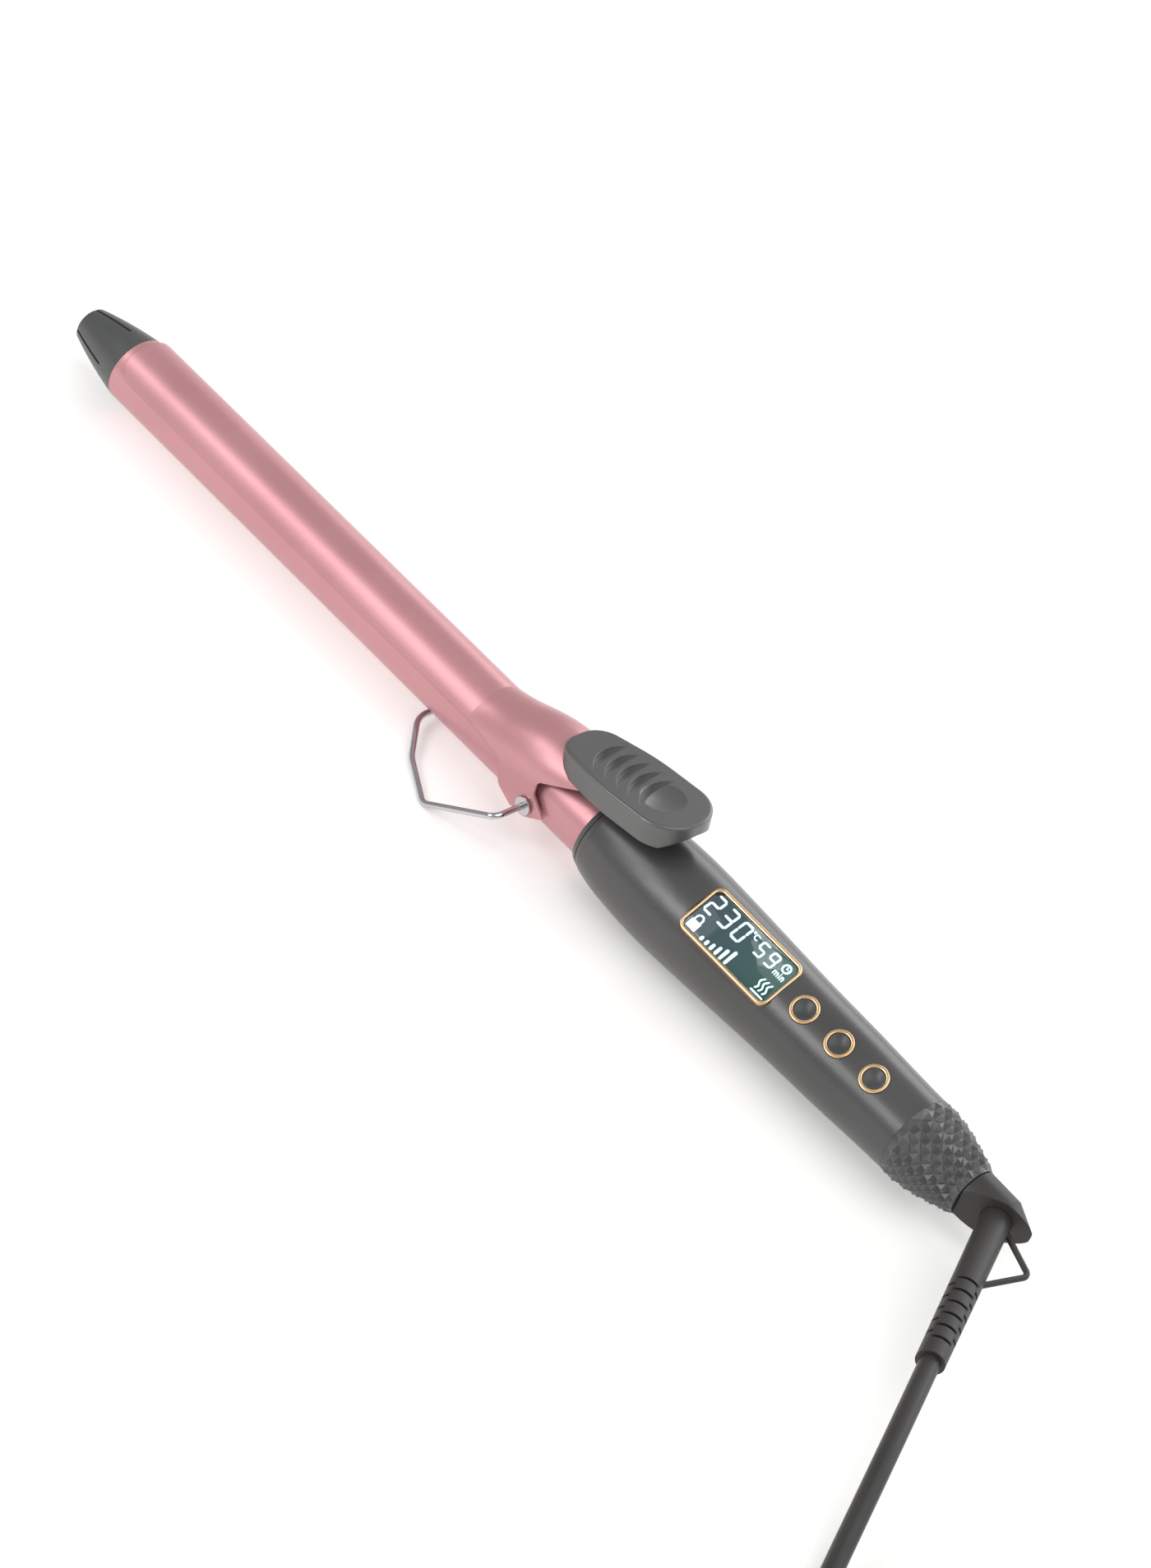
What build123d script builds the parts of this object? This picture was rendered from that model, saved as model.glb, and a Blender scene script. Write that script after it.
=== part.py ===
"""Curling iron with a sprung clip, a wire stand, a display and a swivel cord, in millimetres."""

import os
from math import acos, cos, pi, radians, sin, tan

from build123d import *

# Frame: +X runs from the tip to the cord, +Z is up, the floor is at zero
HINGE_X = 15.2
AXIS_Z = 16.0
HINGE_Z = -2.3

# Barrel and tip, along X from the clip hinge
BARREL_R = 11.0
BARREL_WALL = 0.8
BARREL_BORE_R = BARREL_R - BARREL_WALL
BARREL_FRONT = -202.1
BARREL_REAR = 34.0
TIP_FRONT = -225.7
TIP_PROFILE = [
    (TIP_FRONT, 5.4),
    (-225.1, 6.0),
    (-218.9, 7.7),
    (-211.4, 9.4),
    (BARREL_FRONT, BARREL_R),
]
TIP_SPIGOT = 8.0
TIP_SLOT_WIDTH = 0.9
TIP_SLOT_LENGTH = 16.5
TIP_SLOT_FLOOR_R = 5.0
TIP_SLOT_COUNT = 4
TIP_SLOT_TURN = 0.0
TIP_CAVITY_FRONT = -207.0
TIP_CAVITY_R = 7.5

# Heater
HEATER_FRONT = -156.0
HEATER_REAR = -40.0
CLAMP_BORE_R = 8.3
CORE_WIDTH = 18.0
CORE_THICK = 2.0
FUSE_R = 1.6
FUSE_LENGTH = 9.0

# Clip sheet: station along X, arch radius and height of the arch's centre
SHEET = 0.8
CLIP_FRONT = -199.6
CLIP_EDGE_Z = 4.3
CLIP_R = 12.05
FLARE = -31.0
ARCHES = [
    (FLARE, CLIP_R, 0.0),
    (-24.0, 12.45, 1.2),
    (-16.0, 13.1, 3.3),
    (-6.0, 13.5, 5.7),
    (2.0, 13.2, 6.8),
    (8.0, 12.2, 8.1),
    (14.0, 10.9, 9.9),
    (24.0, 9.2, 13.0),
    (40.0, 7.8, 16.0),
]
LEG_FLOOR = -12.0
CLIP_TOP = 45.0
ARM_END = 40.0
END_PAST = 3.0
FRONT_CORNER_R = 6.0
EAR = [
    (-14.5, CLIP_EDGE_Z),
    (-11.6, -3.6),
    (-5.0, -6.2),
    (0.5, -6.2),
    (7.2, -2.6),
    (1.4, 3.2),
    (1.2, 8.0),
]
EAR_RADII = [3.0, 3.0, 3.0, 3.0, 1.0, 2.5, 2.5]
ARM_EDGE = [(22.0, 18.4), (ARM_END + END_PAST, 22.95)]

# Hinge rivets with the stand wire's ends in them
RIVET_R = 1.9
RIVET_BORE_R = 1.06
RIVET_RUNNING = 0.06
RIVET_IN = 9.0
SHOULDER_R = 3.0
SHOULDER_IN = 11.02
SHOULDER_OUT = 12.2
RIVET_HEAD_R = 2.9
RIVET_HEAD_IN = 13.8
RIVET_OUT = 14.4

# Stand wire, near half from the rivet to the middle of the bow
WIRE_R = 1.0
STAND_HALF = [
    (0.0, 9.6, HINGE_Z),
    (0.0, 25.0, HINGE_Z),
    (-22.6, 29.4, -15.08),
    (-38.5, 20.4, -14.2),
    (-50.0, 8.6, -12.3),
]
STAND_RADII = [3.0, 4.0, 14.0, 9.0]

# Lever pad on the arm
PAD_FRONT = (-0.7, 20.8)
PAD_LENGTH = 50.0
PAD_SLOPE = 8.5
PAD_WALL = 7.6
PAD_HALF_WIDTH = 12.6
PAD_FRONT_HALF_WIDTH = 8.6
PAD_WIDEST = 21.0
PAD_FRONT_R = 8.4
PAD_SIDE_R = 70.0
PAD_END_R = 11.5
PAD_EDGE_R = 0.9
CRESCENT_FIRST = 10.3
CRESCENT_PITCH = 4.8
CRESCENT_COUNT = 5
CRESCENT_HALF = 8.8
CRESCENT_REACH = 3.6
CRESCENT_DIG = 24.0
CRESCENT_SKEW = 12.0
SCOOP_AT = 35.5
SCOOP_R = 30.0
SCOOP_DEPTH = 0.8
PRESS_TURN = 8.5
PRESS_CLEAR = 0.7
PAD_RIVET_AT = 35.0
PAD_RIVET_R = 1.5
PAD_RIVET_HEAD_R = 2.6
PAD_RIVET_TOP = 24.7
PAD_RIVET_UNDER = 21.95

# Clip spring
SPRING_LINE = [(18.0, 11.25), (-5.0, 11.25), (-2.6, 14.6), (19.0, 20.0)]
SPRING_RADII = [1.4, 1.4]
SPRING_SHEET = 0.5
SPRING_WIDTH = 5.0

# Handle: outer profile of collar and shells
LIP_FRONT = 20.3
COLLAR_REAR = 24.0
COLLAR_GROOVE = [(21.8, 12.85), (22.05, 12.5), (22.3, 13.0)]
LIP_R = 12.3
COLLAR_R = 13.6
SLEEVE_R = 12.0
SLEEVE_REAR = 36.0
SHELL_REAR = 152.0
SHELL_OUTER = [
    (COLLAR_REAR, COLLAR_R),
    (29.0, 14.6),
    (38.0, 15.5),
    (50.5, 16.0),
    (66.0, 15.65),
    (86.5, 14.8),
    (105.3, 14.05),
    (124.1, 13.65),
    (138.0, 13.15),
    (SHELL_REAR, 12.8),
]
SPIGOT_FRONT = 148.1
SPIGOT_R = 10.8
SHELL_INNER = [
    (SHELL_REAR, SPIGOT_R),
    (SPIGOT_FRONT, SPIGOT_R),
    (SPIGOT_FRONT, 11.1),
    (124.1, 11.65),
    (105.3, 12.05),
    (86.5, 12.8),
    (66.0, 13.65),
    (50.5, 14.0),
    (SLEEVE_REAR, 13.3),
    (SLEEVE_REAR, SLEEVE_R),
    (COLLAR_REAR, SLEEVE_R),
]

# Shell screws, along X, measured across the panel
SCREWS_AT = [46.0, 101.5]
SCREW_R = 1.1
SCREW_CLEAR_R = 1.3
SCREW_HEAD_R = 2.2
SCREW_RECESS_R = 2.4
SCREW_SEAT = -7.5
SCREW_HEAD = 2.0
SCREW_TIP = 5.0
BOSS_R = 2.2
BOSS_TOPS = [14.8, 13.0]
LOWER_BOSS_R = 3.2
PAST_SHELL = 18.0
DRIVE_R = 0.9
DRIVE_DEPTH = 1.0

# Rear grip with diamond pyramids
GRIP_END = 175.2
GRIP_PROFILE = [
    (SHELL_REAR, 12.8),
    (156.0, 12.7),
    (161.7, 11.9),
    (168.3, 10.1),
    (GRIP_END, 7.9),
]
GRIP_DIAMONDS = 16
GRIP_ROWS = 11
DIAMOND_VALLEY = 0.45
DIAMOND_PEAK = 0.55
GRIP_CAVITY_R = 7.6
GRIP_CAVITY_REAR = 166.8

# Panel: display and keys, turned about the axis from the lever's plane
PANEL_TURN = 30.0
DISPLAY_AT = 81.2
DISPLAY_H = 14.75
DISPLAY_FALL = 2.1
BEZEL_LENGTH = 36.2
BEZEL_WIDTH = 17.0
BEZEL_R = 3.0
BEZEL_EDGE = 1.1
BEZEL_DEPTH = 4.6
LENS_SUNK = 0.25
LENS_THICK = 1.2
MODULE_INSET = 0.2
BOARD_TOP = 8.1
BOARD_THICK = 1.2
BOARD_FRONT = 58.0
BOARD_REAR = 138.9
BOARD_WIDTH = 14.8
BOARD_HOLE_R = 2.4
POST_AT = 60.4
POST_R = 1.6
POST_TOP = 14.0
BUTTONS_AT = [107.9, 122.1, 136.4]
BUTTONS_H = [13.98, 13.7, 13.25]
RING_R = 4.4
RING_BORE_R = 3.3
RING_PROUD = 0.35
RING_SUNK = 1.6
BUTTON_R = 3.22
BUTTON_FLANGE_R = 3.9
BUTTON_GAP = 0.3
BUTTON_FOOT = 10.7
BUTTON_PROUD = 0.15
DISH_R = 9.0
DISH_DEPTH = 0.45
SWITCH_SIDE = 4.5
SWITCH_TOP = 9.3
PLUNGER_R = 1.0
PLUNGER_TOP = 9.9

# Leads inside the handle
LEAD_R = 0.7
LEAD_SIDE = 5.0
LEAD_RISE_AT = 62.0
LEAD_BEND_R = 3.0
MAINS_AT = 126.0
MAINS_END = 163.8
MAINS_SIDE = 1.5

# Filter choke under the board
CHOKE_FRONT = 106.0
CHOKE_REAR = 123.5
CHOKE_WIDTH = 13.0
CHOKE_TALL = 9.0

# Swivel socket and cord boot
SOCKET_FRONT = 175.5
SOCKET_R = 7.7
SOCKET_REAR = 195.3
SOCKET_SHOULDER = 187.0
SOCKET_SHOULDER_R = 7.4
SOCKET_END_R = 3.6
NECK_R = 5.0
NECK_RUNNING = 0.06
NECK_FRONT = 164.2
NECK_BORE_R = 3.2
NECK_BORE_REAR = 172.8
RETAINER_R = 7.0
RETAINER_FRONT = 164.6
RETAINER_REAR = 166.4
BOOT_FROM = 185.3
BOOT_HEADING = 64.0
BOOT_R = 4.6
BOOT_END_R = 4.2
BOOT_LENGTH = 62.0
BOOT_HEAD = -3.0
MOUTH_SHIFT = 1.5
SLOT_FIRST = 31.0
SLOT_PITCH = 2.45
SLOT_COUNT = 11
SLOT_WIDTH = 1.0
SLOT_FLOOR = 2.9
SLOT_REACH = 3.0
LOOP_R = 0.9
LOOP_POINTS = [(3.0, 3.0), (14.4, 15.5), (2.0, 29.0)]
LOOP_BEND_R = 2.2

# Power cord, measured along the boot's heading from the boot's head
CORD_R = 3.0
TIE_THICK = 0.7
CORD_REST = CORD_R + TIE_THICK
RUN_LEVEL = 94.0
RUN_FLOOR = 139.0
COIL_AT = 190.0
COIL_ENDS = 2 * CORD_R
COIL_PITCH = 6.6
COIL_START_R = 45.5
COIL_HALF_TURNS = 7
BEND_SHARE = 0.45
GAP_SAMPLES = 500
GAP_SKIP = 9

# Tie round the coil
TIE_WIDTH = 9.0
TIE_OUTER = 45.3
TIE_INNER = 18.7

# Plug with two round pins
PLUG_LEAD = [16.0, 34.0, 50.0]
PLUG_LENGTH = 34.0
PLUG_WIDTH = 26.0
PLUG_THICK = 14.6
PLUG_SHOULDER = 17.0
PLUG_CORNER_R = 3.0
PLUG_NECK_R = 4.6
PLUG_NECK = 14.0
PIN_R = 2.0
PIN_LENGTH = 19.0
PIN_ROOT = 6.0
PIN_ROOT_R = 1.5
PIN_PITCH = 18.6
PIN_ROUND = 0.8

AXLE = Axis((HINGE_X, 0, AXIS_Z), (1, 0, 0))
SIDE = Plane(origin=(HINGE_X, 0, AXIS_Z), x_dir=(1, 0, 0), z_dir=(0, -1, 0))
TOP = Plane(origin=(HINGE_X, 0, AXIS_Z), x_dir=(1, 0, 0), z_dir=(0, 0, 1))
PANEL_UP = (0, -sin(radians(PANEL_TURN)), cos(radians(PANEL_TURN)))
PANEL = Plane(origin=(HINGE_X, 0, AXIS_Z), x_dir=(1, 0, 0), z_dir=PANEL_UP)
FALL = radians(DISPLAY_FALL)
DISPLAY = Plane(
    origin=PANEL.from_local_coords((DISPLAY_AT, 0, DISPLAY_H)),
    x_dir=(cos(FALL), -sin(FALL) * PANEL_UP[1], -sin(FALL) * PANEL_UP[2]),
    z_dir=(sin(FALL), cos(FALL) * PANEL_UP[1], cos(FALL) * PANEL_UP[2]),
)
PAD_TILT = radians(PAD_SLOPE)
PAD = Plane(
    origin=(HINGE_X + PAD_FRONT[0], 0, AXIS_Z + PAD_FRONT[1]),
    x_dir=(cos(PAD_TILT), 0, sin(PAD_TILT)),
    z_dir=(-sin(PAD_TILT), 0, cos(PAD_TILT)),
)
CRESCENT_R = (CRESCENT_HALF**2 + CRESCENT_REACH**2) / (2 * CRESCENT_REACH)
HEADING = radians(BOOT_HEADING)
BOOT_DIR = (cos(HEADING), -sin(HEADING), 0)
BOOT_ORIGIN = (HINGE_X + BOOT_FROM, 0, AXIS_Z)
BOOT = Plane(origin=BOOT_ORIGIN, x_dir=(sin(HEADING), cos(HEADING), 0), z_dir=BOOT_DIR)


def turned(points):
    """Solid of revolution about the barrel's axis from points (along, radius)."""
    with BuildPart() as solid:
        with BuildSketch(SIDE):
            with BuildLine():
                Polyline(*points, close=True)
            make_face()
        revolve(axis=AXLE)
    return solid.part


def arch(along, radius, rise):
    """Face across the axis with a round top and straight legs."""
    across = Plane(origin=(HINGE_X + along, 0, AXIS_Z), x_dir=(0, 1, 0), z_dir=(1, 0, 0))
    with BuildSketch(across) as section:
        with BuildLine():
            Polyline((-radius, rise), (-radius, LEG_FLOOR), (radius, LEG_FLOOR), (radius, rise))
            ThreePointArc((radius, rise), (0, rise + radius), (-radius, rise))
        make_face()
    return section.sketch.face()


def clip_block(inset, front):
    """Solid under the clip sheet's outer face, inset by a wall."""
    stations = [(s[0], s[1] - inset, s[2]) for s in ARCHES]
    if inset:
        last = stations[-1]
        before = stations[-2]
        share = END_PAST / (last[0] - before[0])
        step = [last[k] + (last[k] - before[k]) * share for k in range(3)]
        stations.append(tuple(step))
    with BuildPart() as block:
        loft(sections=[arch(front, stations[0][1], stations[0][2]), arch(*stations[0])])
        loft(sections=[arch(*s) for s in stations])
    return block.part


def pin(plane, radius, low, high):
    """Cylinder along a plane's normal between two heights."""
    with BuildPart() as rod:
        with BuildSketch(plane.offset(low)):
            Circle(radius)
        extrude(amount=high - low)
    return rod.part


def at(plane, along, across):
    """Plane moved along and across itself."""
    return Plane(
        origin=plane.from_local_coords((along, across, 0)),
        x_dir=plane.x_dir,
        z_dir=plane.z_dir,
    )


def tube(points, radius, bends):
    """Round rod along straight runs joined by tangent arcs."""
    with BuildPart() as rod:
        with BuildLine() as route:
            FilletPolyline(*points, radius=bends)
        with BuildSketch(Plane(origin=route.line @ 0, z_dir=route.line % 0)):
            Circle(radius)
        sweep()
    return rod.part


def bend_radii(points):
    """Bend radius at each inner point, from the shorter run beside it."""
    radii = []
    for before, here, after in zip(points, points[1:], points[2:]):
        run_in = Vector(here) - Vector(before)
        run_out = Vector(after) - Vector(here)
        turn = acos(run_in.normalized().dot(run_out.normalized()))
        radii.append(BEND_SHARE * min(run_in.length, run_out.length) / tan(turn / 2))
    return radii


def grip_radius(along):
    """Radius of the rear grip between its peaks and valleys."""
    for near, far in zip(GRIP_PROFILE, GRIP_PROFILE[1:]):
        if along <= far[0]:
            break
    share = (along - near[0]) / (far[0] - near[0])
    return near[1] + (far[1] - near[1]) * share


def diamond_point(row, step):
    """Corner or peak of the diamond pattern."""
    along = SHELL_REAR + (GRIP_END - SHELL_REAR) * row / GRIP_ROWS
    radius = grip_radius(along)
    if 0 < row < GRIP_ROWS:
        radius += DIAMOND_PEAK if (row + step) % 2 == 0 else -DIAMOND_VALLEY
    turn = pi * step / GRIP_DIAMONDS
    return (HINGE_X + along, -radius * sin(turn), AXIS_Z + radius * cos(turn))


def diamond_solid():
    """Rear grip's outside as a closed solid of pyramids."""
    steps = 2 * GRIP_DIAMONDS
    flats = []
    for row in range(GRIP_ROWS):
        for step in range(steps):
            a = diamond_point(row, step)
            b = diamond_point(row, step + 1)
            c = diamond_point(row + 1, step + 1)
            d = diamond_point(row + 1, step)
            if (row + step) % 2:
                flats += [(a, b, c), (a, c, d)]
            else:
                flats += [(a, b, d), (b, c, d)]
    flats.append([diamond_point(0, step) for step in range(steps)])
    flats.append([diamond_point(GRIP_ROWS, step) for step in range(steps)])
    return Solid(Shell([Face(Wire.make_polygon(corners)) for corners in flats]))


def key(along, high):
    """Dished button with a flange under its ring."""
    with BuildPart() as button:
        add(pin(at(PANEL, along, 0), BUTTON_R, BUTTON_FOOT, high + BUTTON_PROUD))
        add(pin(at(PANEL, along, 0), BUTTON_FLANGE_R, BUTTON_FOOT, high - RING_SUNK - BUTTON_GAP))
        centre = PANEL.from_local_coords((along, 0, high + BUTTON_PROUD + DISH_R - DISH_DEPTH))
        add(Sphere(DISH_R, mode=Mode.PRIVATE).moved(Location(centre)), mode=Mode.SUBTRACT)
    return button


# Cool tip
with BuildPart() as cool_tip:
    with BuildSketch(SIDE):
        with BuildLine():
            Spline(*TIP_PROFILE[1:])
            Polyline(
                TIP_PROFILE[-1],
                (BARREL_FRONT, BARREL_BORE_R),
                (BARREL_FRONT + TIP_SPIGOT, BARREL_BORE_R),
                (BARREL_FRONT + TIP_SPIGOT, TIP_CAVITY_R),
                (TIP_CAVITY_FRONT, TIP_CAVITY_R),
                (TIP_CAVITY_FRONT, 0),
                (TIP_FRONT, 0),
                TIP_PROFILE[0],
                TIP_PROFILE[1],
            )
        make_face()
    revolve(axis=AXLE)
    for k in range(TIP_SLOT_COUNT):
        turn = radians(TIP_SLOT_TURN) + 2 * pi * k / TIP_SLOT_COUNT
        normal = (0, -sin(turn), cos(turn))
        slot_plane = Plane(origin=(HINGE_X + TIP_FRONT, 0, AXIS_Z), x_dir=(1, 0, 0), z_dir=normal)
        with BuildSketch(slot_plane.offset(TIP_SLOT_FLOOR_R)):
            SlotCenterToCenter(TIP_SLOT_LENGTH * 2, TIP_SLOT_WIDTH)
        extrude(amount=BARREL_R, mode=Mode.SUBTRACT)

# Barrel
with BuildPart() as barrel:
    add(
        turned(
            [
                (BARREL_FRONT, BARREL_BORE_R),
                (BARREL_FRONT, BARREL_R),
                (BARREL_REAR, BARREL_R),
                (BARREL_REAR, BARREL_BORE_R),
            ]
        )
    )
    with BuildSketch(SIDE):
        with Locations((0, HINGE_Z)):
            Circle(RIVET_R)
    extrude(amount=BARREL_R, both=True, mode=Mode.SUBTRACT)

# Heater
with BuildPart() as heater_core:
    with BuildSketch(TOP):
        with Locations(((HEATER_FRONT + HEATER_REAR) / 2, 0)):
            Rectangle(HEATER_REAR - HEATER_FRONT, CORE_WIDTH)
    extrude(amount=CORE_THICK / 2, both=True)

with BuildPart() as heater_clamps:
    add(
        turned(
            [
                (HEATER_FRONT, CLAMP_BORE_R),
                (HEATER_FRONT, BARREL_BORE_R),
                (HEATER_REAR, BARREL_BORE_R),
                (HEATER_REAR, CLAMP_BORE_R),
            ]
        )
    )
    with BuildSketch(TOP):
        with Locations(((HEATER_FRONT + HEATER_REAR) / 2, 0)):
            Rectangle(HEATER_REAR - HEATER_FRONT, BARREL_R * 2)
    extrude(amount=CORE_THICK / 2, both=True, mode=Mode.SUBTRACT)

with BuildPart() as thermal_fuse:
    fuse_plane = Plane(origin=(HINGE_X + HEATER_REAR, 0, AXIS_Z), x_dir=(0, 1, 0), z_dir=(1, 0, 0))
    add(pin(fuse_plane, FUSE_R, 0, FUSE_LENGTH))

# Clip sheet
CLIP_OUTER = clip_block(0, CLIP_FRONT)
CLIP_INNER = clip_block(SHEET, CLIP_FRONT - END_PAST)
with BuildPart() as clip:
    add(CLIP_OUTER)
    add(CLIP_INNER, mode=Mode.SUBTRACT)
    with BuildSketch(SIDE):
        with BuildLine():
            FilletPolyline(
                (CLIP_FRONT - END_PAST, CLIP_TOP),
                (CLIP_FRONT, CLIP_TOP),
                (CLIP_FRONT, CLIP_EDGE_Z),
                *EAR,
                *ARM_EDGE,
                (ARM_END + END_PAST, CLIP_TOP),
                radius=[0, FRONT_CORNER_R, *EAR_RADII, 0, 0],
            )
            Line((ARM_END + END_PAST, CLIP_TOP), (CLIP_FRONT - END_PAST, CLIP_TOP))
        make_face()
    extrude(amount=RIVET_OUT, both=True, mode=Mode.INTERSECT)
    with BuildSketch(SIDE):
        with Locations((0, HINGE_Z)):
            Circle(RIVET_R + RIVET_RUNNING)
    extrude(amount=RIVET_OUT, both=True, mode=Mode.SUBTRACT)
    add(pin(at(TOP, PAD_RIVET_AT, 0), PAD_RIVET_R, PAD_RIVET_UNDER, PAD_RIVET_TOP), mode=Mode.SUBTRACT)

# Lever pad, hollowed under its rear end where the handle lies when the lever is pressed
HINGE_LINE = Axis((HINGE_X, 0, AXIS_Z + HINGE_Z), (0, 1, 0))
PRESSED_HANDLE = turned(
    [
        (COLLAR_REAR, 0),
        *[(along, radius + PRESS_CLEAR) for along, radius in SHELL_OUTER],
        (SHELL_REAR, 0),
    ]
).rotate(HINGE_LINE, -PRESS_TURN)
with BuildPart() as lever_pad:
    with BuildSketch(PAD):
        with BuildLine():
            Polyline(
                (0, -PAD_FRONT_HALF_WIDTH),
                (PAD_WIDEST, -PAD_HALF_WIDTH),
                (PAD_LENGTH, -PAD_HALF_WIDTH),
                (PAD_LENGTH, PAD_HALF_WIDTH),
                (PAD_WIDEST, PAD_HALF_WIDTH),
                (0, PAD_FRONT_HALF_WIDTH),
                close=True,
            )
        make_face()
        fillet(vertices().group_by(Axis.X)[1], PAD_SIDE_R)
        fillet(vertices().group_by(Axis.X)[0], PAD_FRONT_R)
        fillet(vertices().group_by(Axis.X)[-1], PAD_END_R)
    extrude(amount=-PAD_WALL)
    fillet(faces().sort_by(Axis.Z)[-1].edges(), PAD_EDGE_R)
    for k in range(CRESCENT_COUNT):
        chord = CRESCENT_FIRST + CRESCENT_PITCH * k + CRESCENT_REACH
        skewed = PAD.location * Location((chord, 0, 0), (0, 0, CRESCENT_SKEW))
        with BuildSketch(Plane(skewed * Location((0, 0, 0), (0, -CRESCENT_DIG, 0)))):
            with Locations((CRESCENT_R - CRESCENT_REACH, 0)):
                Circle(CRESCENT_R)
        extrude(amount=PAD_WALL, mode=Mode.SUBTRACT)
    add(
        Sphere(SCOOP_R, mode=Mode.PRIVATE).moved(
            Location(PAD.from_local_coords((SCOOP_AT, 0, SCOOP_R - SCOOP_DEPTH)))
        ),
        mode=Mode.SUBTRACT,
    )
    add(CLIP_OUTER, mode=Mode.SUBTRACT)
    add(PRESSED_HANDLE, mode=Mode.SUBTRACT)
    add(pin(at(TOP, PAD_RIVET_AT, 0), PAD_RIVET_R, PAD_RIVET_UNDER, PAD_RIVET_TOP), mode=Mode.SUBTRACT)

with BuildPart() as pad_rivet:
    add(pin(at(TOP, PAD_RIVET_AT, 0), PAD_RIVET_HEAD_R, PAD_RIVET_UNDER, PAD_RIVET_TOP))
    add(CLIP_INNER, mode=Mode.INTERSECT)
    add(pin(at(TOP, PAD_RIVET_AT, 0), PAD_RIVET_R, PAD_RIVET_UNDER, PAD_RIVET_TOP))

# Clip spring
with BuildPart() as clip_spring:
    with BuildSketch(SIDE):
        with BuildLine():
            FilletPolyline(*SPRING_LINE, radius=SPRING_RADII)
        trace(line_width=SPRING_SHEET)
    extrude(amount=SPRING_WIDTH / 2, both=True)

# Hinge rivets
with BuildPart() as hinge_rivets:
    for side in (1, -1):
        rivet_plane = Plane(origin=(HINGE_X, 0, AXIS_Z + HINGE_Z), x_dir=(1, 0, 0), z_dir=(0, side, 0))
        add(pin(rivet_plane, RIVET_R, RIVET_IN, RIVET_OUT))
        add(pin(rivet_plane, SHOULDER_R, SHOULDER_IN, SHOULDER_OUT))
        add(pin(rivet_plane, RIVET_HEAD_R, RIVET_HEAD_IN, RIVET_OUT))
        add(pin(rivet_plane, RIVET_BORE_R, 0, RIVET_OUT), mode=Mode.SUBTRACT)

# Stand
STAND_POINTS = [(HINGE_X + p[0], p[1], AXIS_Z + p[2]) for p in STAND_HALF]
STAND_POINTS += [(p[0], -p[1], p[2]) for p in reversed(STAND_POINTS)]
with BuildPart() as stand:
    add(tube(STAND_POINTS, WIRE_R, STAND_RADII + STAND_RADII[::-1]))

# Front collar and handle shells
with BuildPart() as front_collar:
    add(
        turned(
            [
                (LIP_FRONT, BARREL_R),
                (LIP_FRONT, LIP_R),
                *COLLAR_GROOVE,
                (COLLAR_REAR, COLLAR_R),
                (COLLAR_REAR, SLEEVE_R),
                (SLEEVE_REAR, SLEEVE_R),
                (SLEEVE_REAR, BARREL_R),
            ]
        )
    )

with BuildPart() as shell_blank:
    with BuildSketch(SIDE):
        with BuildLine():
            Spline(*SHELL_OUTER)
            Polyline(SHELL_OUTER[-1], *SHELL_INNER, SHELL_OUTER[0])
        make_face()
    revolve(axis=AXLE)

with BuildPart() as handle_upper:
    add(shell_blank.part)
    split(bisect_by=PANEL, keep=Keep.TOP)
    for along, top in zip(SCREWS_AT, BOSS_TOPS):
        add(pin(at(PANEL, along, 0), BOSS_R, 0, top))
        add(pin(at(PANEL, along, 0), SCREW_R, 0, SCREW_TIP), mode=Mode.SUBTRACT)
    add(pin(at(PANEL, POST_AT, 0), POST_R, BOARD_TOP, POST_TOP))
    with BuildSketch(DISPLAY.offset(-BEZEL_DEPTH)):
        RectangleRounded(BEZEL_LENGTH, BEZEL_WIDTH, BEZEL_R)
    extrude(amount=PAST_SHELL, mode=Mode.SUBTRACT)
    for along in BUTTONS_AT:
        add(pin(at(PANEL, along, 0), RING_R, BUTTON_FOOT - RING_SUNK, PAST_SHELL), mode=Mode.SUBTRACT)

with BuildPart() as handle_lower:
    add(shell_blank.part)
    split(bisect_by=PANEL, keep=Keep.BOTTOM)
    for along, top in zip(SCREWS_AT, BOSS_TOPS):
        add(pin(at(PANEL, along, 0), LOWER_BOSS_R, -top, 0))
        add(pin(at(PANEL, along, 0), SCREW_CLEAR_R, -PAST_SHELL, 0), mode=Mode.SUBTRACT)
        add(pin(at(PANEL, along, 0), SCREW_RECESS_R, -PAST_SHELL, SCREW_SEAT), mode=Mode.SUBTRACT)

with BuildPart() as shell_screws:
    for along in SCREWS_AT:
        add(pin(at(PANEL, along, 0), SCREW_HEAD_R, SCREW_SEAT - SCREW_HEAD, SCREW_SEAT))
        add(pin(at(PANEL, along, 0), SCREW_R, SCREW_SEAT, SCREW_TIP))
        with BuildSketch(at(PANEL, along, 0).offset(SCREW_SEAT - SCREW_HEAD)):
            RegularPolygon(DRIVE_R, 6)
        extrude(amount=DRIVE_DEPTH, mode=Mode.SUBTRACT)

# Rear grip
with BuildPart() as rear_grip:
    add(diamond_solid())
    add(turned([(SPIGOT_FRONT, 0), (SPIGOT_FRONT, SPIGOT_R), (SHELL_REAR, SPIGOT_R), (SHELL_REAR, 0)]))
    add(
        turned(
            [
                (SPIGOT_FRONT, 0),
                (SPIGOT_FRONT, GRIP_CAVITY_R),
                (GRIP_CAVITY_REAR, GRIP_CAVITY_R),
                (GRIP_CAVITY_REAR, NECK_R + NECK_RUNNING),
                (SOCKET_FRONT, NECK_R + NECK_RUNNING),
                (SOCKET_FRONT, 0),
            ]
        ),
        mode=Mode.SUBTRACT,
    )

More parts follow.
